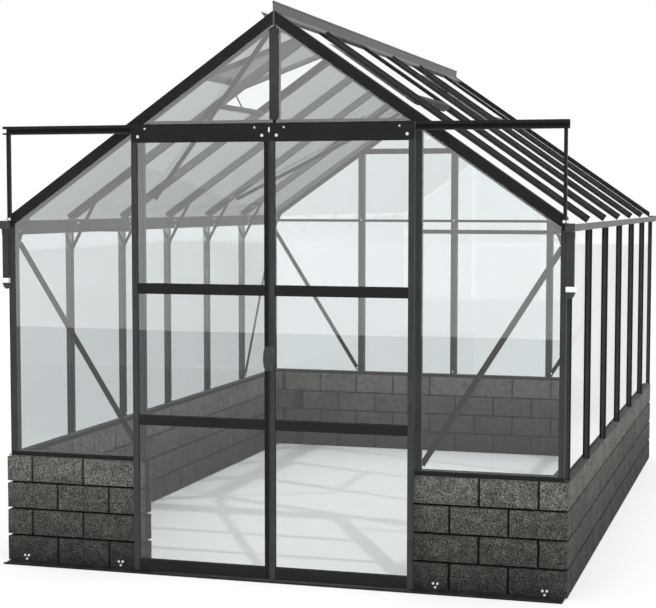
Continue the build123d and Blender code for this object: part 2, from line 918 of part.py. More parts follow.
def door_rollers():
    """Two wheels in the track, each with the axle that holds it to the header."""
    x = leaf_x()
    height = track_floor + roller_radius + roller_clearance
    wheel_front = leaf_back + roller_back_gap + axle_radius
    wheel_y = wheel_front + roller_width / 2
    rollers = []
    for middle in (x[0] + roller_inset, x[1] - roller_inset):
        wheel = Pos(middle, wheel_y, height) * Rot(90, 0, 0) * Cylinder(
            roller_radius, roller_width)
        axle_length = wheel_front - leaf_back
        axle_y = leaf_back + axle_length / 2
        axle = Pos(middle, axle_y, height) * Rot(90, 0, 0) * Cylinder(
            axle_radius, axle_length)
        rollers.append(wheel + axle)
    return rollers


house_nodes = {
    "front_walls": front_walls,
    "side_walls": side_walls,
    "back_wall": back_wall,
    "sill_rails": sill_rails,
    "corner_posts": corner_posts,
    "door_jambs": door_jambs,
    "side_wall_bars": side_wall_bars,
    "back_wall_bars": back_wall_bars,
    "front_gable_bar": front_gable_bar,
    "gable_beams": gable_beams,
    "cross_bars": cross_bars,
    "gable_rafters": gable_rafters,
    "roof_bars": roof_bars,
    "ridge_beam": ridge_beam,
    "eave_beams": eave_beams,
    "gutters": gutters,
    "gutter_end_caps": gutter_end_caps,
    "downpipes": downpipes,
    "downpipe_collars": downpipe_collars,
    "downpipe_spouts": downpipe_spouts,
    "corner_gussets": corner_gussets,
    "wall_braces": wall_braces,
    "knee_struts": knee_struts,
    "roof_braces": roof_braces,
    "vent_frames": vent_frames,
    "vent_glass": vent_glass,
    "vent_sill_bars": vent_sill_bars,
    "vent_stays": vent_stays,
    "side_wall_glass": side_wall_glass,
    "front_wall_glass": front_wall_glass,
    "back_wall_glass": back_wall_glass,
    "roof_glass": roof_glass,
    "door_track": door_track,
    "track_straps": track_straps,
    "door_guide_rail": door_guide_rail,
}

door_nodes = {
    "stiles": door_stiles,
    "rails": door_rails,
    "header": door_header,
    "glass": door_glass,
    "handle": door_handle,
    "rollers": door_rollers,
}


def main():
    os.makedirs("parts", exist_ok=True)
    for name, make in house_nodes.items():
        write_part(name, make())
    for name, make in door_nodes.items():
        right = make()
        write_part(f"right_door_{name}", right)
        write_part(f"left_door_{name}", [mirrored(shape) for shape in right])


main()
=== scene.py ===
"""Glass greenhouse on a block dwarf wall: the visible pieces, their finishes and the stage."""

import math

import bpy
import numpy as np
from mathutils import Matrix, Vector


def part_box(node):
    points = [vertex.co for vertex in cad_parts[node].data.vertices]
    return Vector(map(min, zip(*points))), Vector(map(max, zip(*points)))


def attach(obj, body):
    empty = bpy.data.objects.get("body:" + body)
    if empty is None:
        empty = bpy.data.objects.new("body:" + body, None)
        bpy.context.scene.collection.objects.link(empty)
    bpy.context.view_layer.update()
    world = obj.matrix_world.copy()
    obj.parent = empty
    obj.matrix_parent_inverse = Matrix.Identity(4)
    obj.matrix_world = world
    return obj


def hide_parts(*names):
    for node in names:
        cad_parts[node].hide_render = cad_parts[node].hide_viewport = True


bl_info = {
    "name": "Glass Greenhouse",
    "version": (1, 0, 0),
    "blender": (4, 5, 0),
    "location": "View3D > Sidebar > Greenhouse",
    "description": "Walls, bars, roof, gutters, vents and sliding doors of a glass greenhouse",
    "category": "Add Mesh",
}

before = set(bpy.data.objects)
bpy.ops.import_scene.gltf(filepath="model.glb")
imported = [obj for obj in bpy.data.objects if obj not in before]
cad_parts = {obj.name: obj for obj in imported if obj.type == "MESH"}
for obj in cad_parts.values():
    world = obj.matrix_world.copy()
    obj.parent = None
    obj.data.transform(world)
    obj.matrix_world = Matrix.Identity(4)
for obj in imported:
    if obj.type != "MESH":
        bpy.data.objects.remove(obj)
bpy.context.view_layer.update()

X, Y, Z = np.eye(3)


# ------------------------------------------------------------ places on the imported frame

def low(node):
    """Lowest corner of a CAD node."""
    return np.array(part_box(node)[0])


def high(node):
    """Highest corner of a CAD node."""
    return np.array(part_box(node)[1])


def points_of(node):
    """A CAD node's vertices."""
    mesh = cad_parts[node].data
    points = np.empty(len(mesh.vertices) * 3, np.float32)
    mesh.vertices.foreach_get("co", points)
    return points.reshape(-1, 3)


def nearest(node):
    """Smallest distance of a node's points from the middle plane, across the house."""
    return float(abs(points_of(node)[:, 0]).min())


def roof_slope():
    """Slope of the right roof half and height of its apex, from the rafters' top faces."""
    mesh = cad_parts["gable_rafters"].data
    normals = np.empty(len(mesh.polygons) * 3, np.float32)
    areas = np.empty(len(mesh.polygons), np.float32)
    mesh.polygons.foreach_get("normal", normals)
    mesh.polygons.foreach_get("area", areas)
    normals, points = normals.reshape(-1, 3), points_of("gable_rafters")
    slanted = np.where((normals[:, 0] > 0.3) & (normals[:, 2] > 0.3), areas, 0)
    out = normals[slanted.argmax()].astype(float)
    out /= np.linalg.norm(out)
    apex = float((points[:, 2] + abs(points[:, 0]) * out[0] / out[2]).max())
    return out, apex


HALF = high("gable_rafters")[0]
FRONT = low("gable_rafters")[1]
BACK = high("gable_rafters")[1]
MIDDLE = (FRONT + BACK) / 2
WALL_TOP = high("side_walls")[2]
SILL_TOP = high("sill_rails")[2]
OUT, APEX = roof_slope()
DOWN = np.array([OUT[2], 0.0, -OUT[0]])
BAYS = 6
BAY = (BACK - FRONT) / BAYS
GABLE_BAY = HALF / 2
EAVE = APEX - HALF * OUT[0] / OUT[2]
SILL_BASE = low("side_wall_bars")[2]
GUTTER_LOW = low("gutters")[2]
BAR_RUN = high("roof_bars")[0] / OUT[2]
END_FRAME = 0.050          # depth of the end walls' frame
POST_WIDTH = 0.050         # corner posts' width in the CAD, where the cross bars end
RAFTER_DEPTH = 0.064       # from the roof's plane to the end rafters' undersides
BAR_HALF = 0.0225          # half width of the end walls' bars
GLASS_BED = 0.034          # from the roof's plane to the panes' undersides


# ------------------------------------------------------------ sizes and colours

def metres(name, default, description):
    return bpy.props.FloatProperty(
        name=name, description=description, default=default, min=0.0, precision=4, unit="LENGTH")


def tint(name, default, description):
    return bpy.props.FloatVectorProperty(
        name=name, description=description, default=default, size=3, min=0.0, max=1.0,
        subtype="COLOR")


class GreenhouseSizes(bpy.types.PropertyGroup):
    """Sizes of the visible details."""
    block_length: metres("Block length", 0.2975, "Length of a wall block, joint to joint")
    corner_short: metres("Short corner leg", 0.139, "Corner block's length in the odd courses")
    joint_width: metres("Joint width", 0.007, "How far each block's edge is cut back at a joint")
    joint_depth: metres("Joint depth", 0.025, "How deep the joints between the blocks run")
    roughness: metres("Block unevenness", 0.0005, "How far the faces of the blocks wander")
    seal: metres("Seal", 0.003, "Size of the rubber seals beside the bars")
    bolt: metres("Bolt head", 0.0055, "Radius of the frame's bolt heads")


class GreenhouseFinish(bpy.types.PropertyGroup):
    """Colours of the finishes."""
    frame_coat: tint("Frame", (0.0125, 0.0132, 0.0132), "Charcoal powder coat of the frame")
    bar_coat: tint("Bars", (0.034, 0.036, 0.037), "Charcoal coat of the slim bars")
    gutter_coat: tint("Gutter", (0.078, 0.080, 0.081), "Grey coat of gutters and flashing")
    block: tint("Block", (0.064, 0.062, 0.057), "Faces of the wall blocks")
    glass: tint("Glass", (0.882, 0.900, 0.902), "Light that passes one face of a pane")
    white: tint("White plastic", (0.86, 0.87, 0.86), "Collars and wheels")
    black: tint("Black plastic", (0.005, 0.005, 0.0055), "Handles, caps and seals")
    floor: tint("Floor", (0.88, 0.88, 0.88), "Pale ground")


# ------------------------------------------------------------ surfaces

class Shape:
    """Points, the faces' corner numbers in a row, each face's corner count, and a tone a point."""

    def __init__(self, points, corners, counts, tone=None):
        self.points = points
        self.corners = corners
        self.counts = counts
        self.tone = np.zeros(len(points)) if tone is None else tone


def turned_over(shape):
    """The same faces with their corners in the opposite order."""
    starts = np.cumsum(shape.counts) - shape.counts
    place = np.arange(len(shape.corners)) - np.repeat(starts, shape.counts)
    order = np.repeat(starts + shape.counts - 1, shape.counts) - place
    return Shape(shape.points, shape.corners[order], shape.counts, shape.tone)


def volume(points, corners, counts):
    """Sum over the faces' fans of triangles of a . (b x c), six times the closed volume."""
    starts = np.cumsum(counts) - counts
    first = points[corners[np.repeat(starts, counts)]]
    here = points[corners]
    after = points[corners[(np.arange(len(corners)) + 1) % len(corners)]]
    last = np.zeros(len(corners), bool)
    last[starts + counts - 1] = True
    parts = np.einsum("ij,ij->i", first, np.cross(here, after))
    return parts[~last].sum()


def grid(points, tone=None, ring=False):
    """Closed skins over grids of points, copies by rows by columns. Columns run round and close
    on themselves. The first and last rows are closed by a face, or joined to each other for a
    ring. Faces are turned outwards by the sign of the first copy's volume."""
    points = np.asarray(points, float)
    if points.ndim == 3:
        points = points[None]
    copies, rows, columns = points.shape[:3]
    number = np.arange(rows * columns).reshape(rows, columns)
    number = np.hstack([number, number[:, :1]])
    if ring:
        number = np.vstack([number, number[:1]])
    quads = np.stack([number[:-1, :-1], number[:-1, 1:], number[1:, 1:], number[1:, :-1]], -1)
    corners, counts = quads.reshape(-1), np.full(quads.size // 4, 4)
    if not ring:
        corners = np.concatenate([corners, number[0, :-1][::-1], number[-1, :-1]])
        counts = np.concatenate([counts, [columns, columns]])
    centred = points[0].reshape(-1, 3) - points[0].reshape(-1, 3).mean(0)
    inside_out = volume(centred, corners, counts) < 0
    corners = (np.arange(copies)[:, None] * rows * columns + corners).reshape(-1)
    shape = Shape(points.reshape(-1, 3), corners, np.tile(counts, copies),
                  None if tone is None else np.broadcast_to(
                      tone, (copies, rows, columns)).reshape(-1).copy())
    return turned_over(shape) if inside_out else shape


def joined(shapes):
    """All shapes as one."""
    offsets = np.cumsum([0] + [len(shape.points) for shape in shapes[:-1]])
    return Shape(
        np.concatenate([shape.points for shape in shapes]),
        np.concatenate([shape.corners + offset for shape, offset in zip(shapes, offsets)]),
        np.concatenate([shape.counts for shape in shapes]),
        np.concatenate([shape.tone for shape in shapes]))


def flipped(shape, axis=0, about=0.0):
    """Mirror image: the coordinate along the axis becomes twice `about` less itself."""
    points = shape.points.copy()
    points[:, axis] = 2 * about - points[:, axis]
    return turned_over(Shape(points, shape.corners, shape.counts, shape.tone))


def left_too(shapes):
    """Shapes of the right side and their images on the left."""
    return shapes + [flipped(shape) for shape in shapes]


def back_too(shapes):
    """Shapes of the front and their images at the back."""
    return shapes + [flipped(shape, 1, MIDDLE) for shape in shapes]


def moved(shape, offsets):
    """A copy of the shape at each offset."""
    offsets = np.atleast_2d(offsets)
    points = (shape.points[None] + offsets[:, None]).reshape(-1, 3)
    shift = np.arange(len(offsets))[:, None] * len(shape.points)
    return Shape(points, (shape.corners + shift).reshape(-1), np.tile(shape.counts, len(offsets)),
                 np.tile(shape.tone, len(offsets)))


def placed(shape, origin, first, second, third):
    """Local coordinates (a, b, c) go to origin + a*first + b*second + c*third."""
    points = origin + shape.points @ np.array([first, second, third])
    shape = Shape(points, shape.corners, shape.counts, shape.tone)
    return turned_over(shape) if np.linalg.det([first, second, third]) < 0 else shape


def section(corners, grooves=(), cut=0.8):
    """Closed outline through the corners, all in millimetres. Every corner is cut off at `cut`
    from its point, and a groove (edge, distance, width, depth) is a square notch in that edge
    with its middle at the distance from the edge's first corner."""
    corners = np.asarray(corners, float)
    following = np.roll(corners, -1, axis=0)
    area = (corners[:, 0] * following[:, 1] - following[:, 0] * corners[:, 1]).sum()
    points = []
    for number, (corner, after) in enumerate(zip(corners, following)):
        step = (after - corner) / np.hypot(*(after - corner))
        inward = np.array([-step[1], step[0]]) * np.sign(area)
        points.append(corner + step * cut)
        for edge, distance, width, depth in sorted(grooves):
            if edge == number:
                near = corner + step * (distance - width / 2)
                far = corner + step * (distance + width / 2)
                points += [near, near + inward * depth, far + inward * depth, far]
        points.append(after - step * cut)
    return np.array(points) / 1000


def box_section(a, b, grooves=(), cut=0.8):
    """Rectangle between the low and high values of a and b, in millimetres."""
    corners = [(a[0], b[0]), (a[1], b[0]), (a[1], b[1]), (a[0], b[1])]
    return section(corners, grooves, cut)


def reach(base, along, plane):
    """How far each base point slides along a direction to a plane: (point - base) . normal over
    along . normal. A plain number is that far for all."""
    if np.isscalar(plane):
        return np.full(len(base), float(plane))
    point, normal = plane
    return ((point - base) @ normal) / (along @ normal)


def carried(outline, origin, across, up, along, start, end):
    """Outline points (u, v) stand at origin + u*across + v*up and slide along a direction,
    from the farthest of the start planes to the nearest of the end planes."""
    origin, across, up, along = (np.asarray(v, float) for v in (origin, across, up, along))
    base = origin + outline[:, :1] * across + outline[:, 1:] * up
    first = np.max([reach(base, along, plane) for plane in start], axis=0)
    last = np.min([reach(base, along, plane) for plane in end], axis=0)
    return grid(np.stack([base + first[:, None] * along, base + last[:, None] * along]))


def lengthwise(outline, start, end):
    """Outline in (x, z) carried from one y to another."""
    return carried(outline, (0, 0, 0), X, Z, Y, [at_y(start)], [at_y(end)])


def crosswise(outline, start, end):
    """Outline in (y, z) carried from one x to another."""
    return carried(outline, (0, 0, 0), Y, Z, X, [at_x(start)], [at_x(end)])


def upwards(outline, start, end):
    """Outline in (x, y) carried from one z to another."""
    return carried(outline, (0, 0, 0), X, Y, Z, [at_z(start)], [at_z(end)])


def at_x(x):
    """Plane at x, as a point on it and its normal."""
    return (np.array([x, 0.0, 0.0]), X)


def at_y(y):
    """Plane at y."""
    return (np.array([0.0, y, 0.0]), Y)


def at_z(z):
    """Plane at z."""
    return (np.array([0.0, 0.0, z]), Z)


def at_slope(offset, side=1):
    """Plane parallel to the right (side 1) or left (-1) slope, offset outwards from it."""
    out = OUT * [side, 1, 1]
    return (np.array([0.0, 0.0, APEX]) + out * offset, out)


def roof_z(x, offset):
    """Height at x of the line parallel to the right slope."""
    return APEX - x * OUT[0] / OUT[2] + offset / OUT[2]


def on_slope(u, y, offset):
    """Point u down the right slope from the apex, at depth y, offset outwards."""
    return np.array([0.0, y, APEX]) + DOWN * u + OUT * offset


def turned(profile, sides, places, axis):
    """Profile of (radius, height) pairs turned about an axis: place + radius * (cos, sin) in the
    plane across the axis + height * axis, at every place."""
    profile, places = np.atleast_2d(profile), np.atleast_2d(places)
    axis = np.asarray(axis, float) / np.linalg.norm(axis)
    helper = X if abs(axis[0]) < 0.8 else Y
    first = np.cross(axis, helper)
    first /= np.linalg.norm(first)
    second = np.cross(axis, first)
    angles = 2 * np.pi * (np.arange(sides) + 0.5) / sides
    ring = np.cos(angles)[:, None] * first + np.sin(angles)[:, None] * second
    points = (places[:, None, None] + profile[:, 0][None, :, None, None] * ring
              + profile[:, 1][None, :, None, None] * axis)
    return grid(points)


def bolts(places, axis, radius, height=None, sides=6):
    """Bolt heads with a washer: six-sided or round, with a cut-off upper edge."""
    tall = radius * 0.75 if height is None else height
    head = [(radius, 0), (radius, tall * 0.8), (radius * 0.84, tall), (radius * 0.4, tall)]
    washer = [(radius * 1.45, 0), (radius * 1.45, 0.0009), (radius * 1.35, 0.0012)]
    return [turned(washer, 14, places, axis), turned(head, sides, places, axis)]


def tubed(points, radius, sides):
    """Round bar along a path: circles of cos and sin in the plane across each step of the path."""
    points = np.asarray(points, float)
    steps = np.gradient(points, axis=0)
    steps /= np.linalg.norm(steps, axis=1)[:, None]
    helper = X if abs(steps[0][0]) < 0.8 else Y
    first = np.cross(steps, helper)
    first /= np.linalg.norm(first, axis=1)[:, None]
    second = np.cross(steps, first)
    angles = 2 * np.pi * np.arange(sides) / sides
    rings = (points[:, None] + radius * np.cos(angles)[None, :, None] * first[:, None]
             + radius * np.sin(angles)[None, :, None] * second[:, None])
    return grid(rings)


# ------------------------------------------------------------ finishes

class Tree:
    """A node tree being filled, one node beside the other."""

    def __init__(self, tree):
        self.tree = tree
        self.count = 0

    def add(self, kind, inputs=None, **settings):
        """New node; each input gets a value or a link from another node's output."""
        node = self.tree.nodes.new(kind)
        node.location = (self.count * 190, 0)
        self.count += 1
        for key, value in settings.items():
            setattr(node, key, value)
        for key, value in (inputs or {}).items():
            if isinstance(value, bpy.types.NodeSocket):
                self.tree.links.new(value, node.inputs[key])
            else:
                node.inputs[key].default_value = value
        return node

    def math(self, operation, a, b=0.0):
        return self.add("ShaderNodeMath", {0: a, 1: b}, operation=operation).outputs[0]

    def noise(self, vector, scale, detail=3.0, rough=0.55):
        node = self.add("ShaderNodeTexNoise", {
            "Vector": vector, "Scale": scale, "Detail": detail, "Roughness": rough})
        return node.outputs["Fac"]

    def ranged(self, value, low_in, high_in, low_out=0.0, high_out=1.0):
        node = self.add("ShaderNodeMapRange", {
            "Value": value, "From Min": low_in, "From Max": high_in,
            "To Min": low_out, "To Max": high_out})
        return node.outputs[0]

    def product(self, first, *others):
        """The values multiplied one after another."""
        for other in others:
            first = self.math("MULTIPLY", first, other)
        return first

    def scaled(self, colour, factor):
        node = self.add("ShaderNodeVectorMath", {0: colour, "Scale": factor}, operation="SCALE")
        return node.outputs[0]

    def mixed(self, factor, a, b):
        node = self.add("ShaderNodeMix", {0: factor, 6: a, 7: b}, data_type="RGBA")
        return node.outputs[2]

    def either(self, factor, a, b):
        """Number a, or b where the factor is one."""
        node = self.add("ShaderNodeMix", {0: factor, 2: a, 3: b}, data_type="FLOAT")
        return node.outputs[0]

    def end(self, shader):
        """The shader becomes the material's surface."""
        self.add("ShaderNodeOutputMaterial", {0: shader.outputs[0]})


def group(name, inputs, outputs):
    """Empty shader node group with the named sockets, or None if it stands already."""
    if name in bpy.data.node_groups:
        return None
    tree = bpy.data.node_groups.new(name, "ShaderNodeTree")
    for socket, (kind, value) in inputs.items():
        made = tree.interface.new_socket(socket, in_out="INPUT", socket_type=kind)
        made.default_value = value
    for socket, kind in outputs.items():
        tree.interface.new_socket(socket, in_out="OUTPUT", socket_type=kind)
    return Tree(tree)


def coat_group():
    """Powder coat: fine orange peel and slow drift of tone, with dust where faces look up."""
    tree = group(
        "Coat",
        {"Colour": ("NodeSocketColor", (0.02, 0.02, 0.02, 1)),
         "Dust": ("NodeSocketColor", (0.2, 0.19, 0.17, 1)),
         "Dust amount": ("NodeSocketFloat", 0.3),
         "Gloss": ("NodeSocketFloat", 0.45)},
        {"Colour": "NodeSocketColor", "Roughness": "NodeSocketFloat", "Height": "NodeSocketFloat"})
    if tree is None:
        return
    given = tree.add("NodeGroupInput")
    place = tree.add("ShaderNodeTexCoord").outputs["Object"]
    peel = tree.noise(place, 900.0, 2.0)
    drift = tree.noise(place, 6.0, 4.0)
    speck = tree.noise(place, 350.0, 1.0)
    up = tree.add("ShaderNodeSeparateXYZ", {
        0: tree.add("ShaderNodeNewGeometry").outputs["Normal"]}).outputs[2]
    settled = tree.ranged(up, 0.2, 1.0)
    patch = tree.ranged(tree.noise(place, 14.0, 5.0, 0.65), 0.35, 0.75)
    dust = tree.product(settled, patch, given.outputs["Dust amount"])
    shade = tree.product(tree.ranged(drift, 0.3, 0.7, 0.82, 1.2),
                         tree.ranged(speck, 0.35, 0.65, 0.92, 1.08))
    colour = tree.mixed(dust, tree.scaled(given.outputs["Colour"], shade), given.outputs["Dust"])
    rough = tree.math("ADD", given.outputs["Gloss"], tree.ranged(drift, 0.3, 0.7, -0.05, 0.08))
    rough = tree.math("ADD", rough, tree.math("MULTIPLY", dust, 0.35))
    tree.add("NodeGroupOutput", {"Colour": colour, "Roughness": rough, "Height": peel})


def cast_group():
    """Cast stone: grains, light flecks, pores, stains, painted shade that darkens the blocks
    towards the ground and lightens the top course, a tone for each block, and painted shade deep in
    the joints where the tone falls below nought."""
    tree = group(
        "Cast stone",
        {"Face": ("NodeSocketColor", (0.1, 0.1, 0.09, 1)),
         "Grain": ("NodeSocketFloat", 110.0)},
        {"Colour": "NodeSocketColor", "Roughness": "NodeSocketFloat", "Height": "NodeSocketFloat"})
    if tree is None:
        return
    given = tree.add("NodeGroupInput")
    place = tree.add("ShaderNodeTexCoord").outputs["Object"]
    tone = tree.add("ShaderNodeAttribute", attribute_name="tone").outputs["Fac"]
    grain = tree.noise(place, given.outputs["Grain"], 5.0, 0.8)
    pores = tree.add("ShaderNodeTexVoronoi", {"Vector": place, "Scale": 95.0}).outputs["Distance"]
    pores = tree.ranged(pores, 0.02, 0.28)
    patches = tree.noise(place, 26.0, 3.0, 0.6)
    fleck = tree.ranged(tree.noise(place, 170.0, 2.0, 0.7), 0.56, 0.7)
    fleck = tree.math("MULTIPLY", fleck, tree.ranged(patches, 0.35, 0.65))
    stain = tree.noise(place, 5.0, 4.0, 0.6)
    height = tree.add("ShaderNodeSeparateXYZ", {0: place}).outputs[2]
    shade = tree.product(
        tree.ranged(grain, 0.40, 0.60, 0.0, 2.1), tree.ranged(patches, 0.3, 0.7, 0.8, 1.2),
        tree.ranged(stain, 0.3, 0.7, 0.85, 1.15), tree.ranged(tone, 0.0, 1.0, 0.88, 1.12),
        tree.ranged(pores, 0.0, 1.0, 0.6, 1.05))
    shade = tree.math("ADD", shade, tree.math("MULTIPLY", fleck, 3.4))
    # Painted light and shade: darker towards the ground and a lighter top course, as light falls on
    # the wall.
    painted_height_shade = tree.math("ADD", tree.ranged(height, 0.02, 0.40, 0.36, 0.86),
                    tree.ranged(height, 0.41, 0.47, 0.0, 0.5))
    # Painted shade in the joints: a tone below nought darkens the stone towards each joint's root.
    shade = tree.product(shade, painted_height_shade, tree.ranged(tone, -1.0, 0.0, 0.06, 1.0))
    relief = tree.math("ADD", tree.math("MULTIPLY", grain, 0.7), tree.math("MULTIPLY", pores, 0.3))
    tree.add("NodeGroupOutput", {
        "Colour": tree.scaled(given.outputs["Face"], shade),
        "Roughness": tree.ranged(grain, 0.3, 0.7, 0.82, 0.97), "Height": relief})


def placed_group(tree, name, inputs):
    """The named group as a node in a material's tree."""
    node = tree.tree.nodes.new("ShaderNodeGroup")
    node.node_tree = bpy.data.node_groups[name]
    node.location = (tree.count * 190, 0)
    tree.count += 1
    for key, value in inputs.items():
        node.inputs[key].default_value = value
    return node


def new_finish(name):
    """Empty material with nodes, and its tree."""
    made = bpy.data.materials.new(name)
    made.use_nodes = True
    made.node_tree.nodes.clear()
    return made, Tree(made.node_tree)


def coated(name, colour, dust, gloss, bump, specular):
    """Powder-coated or moulded finish from the coat group."""
    coat_group()
    made, tree = new_finish(name)
    coat = placed_group(tree, "Coat", {
        "Colour": (*colour, 1), "Dust amount": dust, "Gloss": gloss})
    bump = tree.add("ShaderNodeBump", {
        "Height": coat.outputs["Height"], "Strength": bump, "Distance": 0.0004})
    shader = tree.add("ShaderNodeBsdfPrincipled", {
        "Base Color": coat.outputs["Colour"], "Roughness": coat.outputs["Roughness"],
        "Normal": bump.outputs[0], "Specular IOR Level": specular})
    tree.end(shader)
    return made


def plated(name):
    """Zinc plate: metal with fine brush marks and dull spots."""
    made, tree = new_finish(name)
    place = tree.add("ShaderNodeTexCoord").outputs["Object"]
    spots = tree.noise(place, 180.0, 4.0)
    brushed = tree.noise(place, 1200.0, 2.0)
    colour = tree.mixed(tree.ranged(spots, 0.3, 0.7), (0.62, 0.63, 0.64, 1), (0.82, 0.82, 0.8, 1))
    bump = tree.add("ShaderNodeBump", {"Height": brushed, "Strength": 0.2, "Distance": 0.0002})
    shader = tree.add("ShaderNodeBsdfPrincipled", {
        "Base Color": colour, "Roughness": tree.ranged(spots, 0.3, 0.7, 0.28, 0.5),
        "Metallic": 0.85, "Normal": bump.outputs[0]})
    tree.end(shader)
    return made


def stone(name, colour):
    """Cast wall block."""
    cast_group()
    made, tree = new_finish(name)
    cast = placed_group(tree, "Cast stone", {"Face": (*colour, 1)})
    bump = tree.add("ShaderNodeBump", {
        "Height": cast.outputs["Height"], "Strength": 0.9, "Distance": 0.003})
    shader = tree.add("ShaderNodeBsdfPrincipled", {
        "Base Color": cast.outputs["Colour"], "Roughness": cast.outputs["Roughness"],
        "Normal": bump.outputs[0], "Specular IOR Level": 0.2})
    tree.end(shader)
    return made


MIRROR_GAIN, MIRROR_MOST = 1.9, 0.96


def pane(name, colour):
    """Clear pane with a slight wave: each face tints what passes a little, and a face that light
    enters by mirrors more the flatter it is met. The inner faces of the side walls and slopes,
    whose normals point to the middle plane, mirror little. Soft light and shadows pass
    unchanged."""
    made, tree = new_finish(name)
    place = tree.add("ShaderNodeTexCoord").outputs["Object"]
    bump = tree.add("ShaderNodeBump", {
        "Height": tree.noise(place, 2.2, 1.0), "Strength": 0.05, "Distance": 0.002})
    clear = tree.add("ShaderNodeBsdfTransparent", {"Color": (*colour, 1)})
    face = tree.add("ShaderNodeNewGeometry")
    outward = tree.add("ShaderNodeVectorMath", {0: place, 1: (1.0, 0.0, 0.0)},
                       operation="MULTIPLY").outputs[0]
    outward = tree.add("ShaderNodeVectorMath", {0: outward, 1: face.outputs["Normal"]},
                       operation="DOT_PRODUCT").outputs["Value"]
    gloss = tree.add("ShaderNodeBsdfGlossy", {
        "Color": tree.ranged(outward, -0.02, -0.01, 0.2, 1.0), "Roughness": 0.0,
        "Normal": bump.outputs[0]})
    angle = tree.add("ShaderNodeFresnel", {"IOR": 1.5}).outputs[0]
    entering = tree.math("SUBTRACT", 1.0, face.outputs["Backfacing"])
    share = tree.math("MINIMUM", tree.product(angle, MIRROR_GAIN, entering), MIRROR_MOST)
    glass = tree.add("ShaderNodeMixShader", {0: share, 1: clear.outputs[0], 2: gloss.outputs[0]})
    path = tree.add("ShaderNodeLightPath")
    soft = tree.math("MAXIMUM", path.outputs["Is Shadow Ray"], path.outputs["Is Diffuse Ray"])
    open_air = tree.add("ShaderNodeBsdfTransparent", {"Color": (1, 1, 1, 1)})
    seen = tree.add("ShaderNodeMixShader", {0: soft, 1: glass.outputs[0], 2: open_air.outputs[0]})
    tree.end(seen)
    return made


def ground(name, colour):
    """Pale floor with a very slight mottle. Outside the house it fades into plain white light."""
    made, tree = new_finish(name)
    place = tree.add("ShaderNodeTexCoord").outputs["Object"]
    mottle = tree.noise(place, 1.5, 5.0)
    pale = tuple(c * 0.985 for c in colour)
    tone = tree.mixed(tree.ranged(mottle, 0.3, 0.7), (*colour, 1), (*pale, 1))
    shader = tree.add("ShaderNodeBsdfPrincipled", {"Base Color": tone, "Roughness": 0.9,
                                                   "Specular IOR Level": 0.1})
    inner_corner = np.array([HALF, BACK, 1.0]) - 0.05
    size = tree.add("ShaderNodeVectorMath", {0: place}, operation="ABSOLUTE").outputs[0]
    beyond = tree.add("ShaderNodeVectorMath", {0: size, 1: tuple(inner_corner)},
                      operation="SUBTRACT").outputs[0]
    sides = tree.add("ShaderNodeSeparateXYZ", {0: beyond})
    away = tree.math("MAXIMUM", sides.outputs[0], sides.outputs[1])
    fade = tree.math("ADD", tree.ranged(away, 0.0, 0.08, 0.0, 0.5),
                     tree.ranged(away, 0.1, 2.5, 0.0, 0.5))
    singular = tree.add("ShaderNodeLightPath").outputs["Is Singular Ray"]
    light = tree.add("ShaderNodeEmission", {
        "Color": (1, 1, 1, 1), "Strength": tree.ranged(singular, 0.0, 1.0, 1.05, 0.85)})
    floor = tree.add("ShaderNodeMixShader", {0: fade, 1: shader.outputs[0], 2: light.outputs[0]})
    tree.end(floor)
    return made


COATS = {   # the colour's property, dust, gloss, bump and specular level
    "charcoal_coat": ("frame_coat", 0.12, 0.5, 0.12, 0.1),
    "bar_coat": ("bar_coat", 0.2, 0.5, 0.12, 0.15),
    "gutter_coat": ("gutter_coat", 0.35, 0.5, 0.12, 0.3),
    "white_plastic": ("white", 0.1, 0.45, 0.05, 0.5),
    "black_plastic": ("black", 0.12, 0.42, 0.3, 0.4),
    "rubber": ("black", 0.2, 0.75, 0.2, 0.2),
}


def finish(name):
    """The named finish, made when it is first asked for."""
    if name in bpy.data.materials:
        return bpy.data.materials[name]
    colours = bpy.context.scene.greenhouse_finish
    if name in COATS:
        colour, *amounts = COATS[name]
        return coated(name, getattr(colours, colour), *amounts)
    if name == "zinc":
        return plated(name)
    if name == "cast_stone":
        return stone(name, colours.block)
    if name == "clear_glass":
        return pane(name, colours.glass)
    return ground(name, colours.floor)


MIRRORED = ("cast_stone", "zinc", "white_plastic")
SHARP_ANGLE = math.radians(32)


def make_piece(name, shapes, coat, body="house", stands_for=()):
    """One mesh object from the shapes, with its finish, its body and what it stands for. Of the
    pieces made here only stone, zinc and white plastic are mirrored in the panes, so that bars
    aren't doubled behind them."""
    shape = joined(shapes)
    mesh = bpy.data.meshes.new(name)
    mesh.vertices.add(len(shape.points))
    mesh.vertices.foreach_set("co", shape.points.astype(np.float32).reshape(-1))
    mesh.loops.add(len(shape.corners))
    mesh.loops.foreach_set("vertex_index", shape.corners.astype(np.int32))
    mesh.polygons.add(len(shape.counts))
    starts = np.cumsum(shape.counts) - shape.counts
    mesh.polygons.foreach_set("loop_start", starts.astype(np.int32))
    mesh.update(calc_edges=True)
    if coat == "cast_stone":
        tone = mesh.attributes.new("tone", "FLOAT", "POINT")
        tone.data.foreach_set("value", shape.tone.astype(np.float32))
    mesh.polygons.foreach_set("use_smooth", np.ones(len(shape.counts), bool))
    mesh.set_sharp_from_angle(angle=SHARP_ANGLE)
    mesh.materials.append(finish(coat))
    piece = bpy.data.objects.new(name, mesh)
    bpy.context.scene.collection.objects.link(piece)
    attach(piece, body)
    if stands_for:
        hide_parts(*stands_for)
    piece.visible_glossy = coat in MIRRORED
    return piece


def dress(coat, *nodes):
    """Gives CAD nodes a finish."""
    for node in nodes:
        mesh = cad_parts[node].data
        mesh.materials.clear()
        mesh.materials.append(finish(coat))


# ------------------------------------------------------------ dwarf wall

ROOT_GAP = 0.0004      # from a joint's middle to the root outline of the block beside it
SEED = 7
COURSES = 4
SIDE_BLOCKS = 14


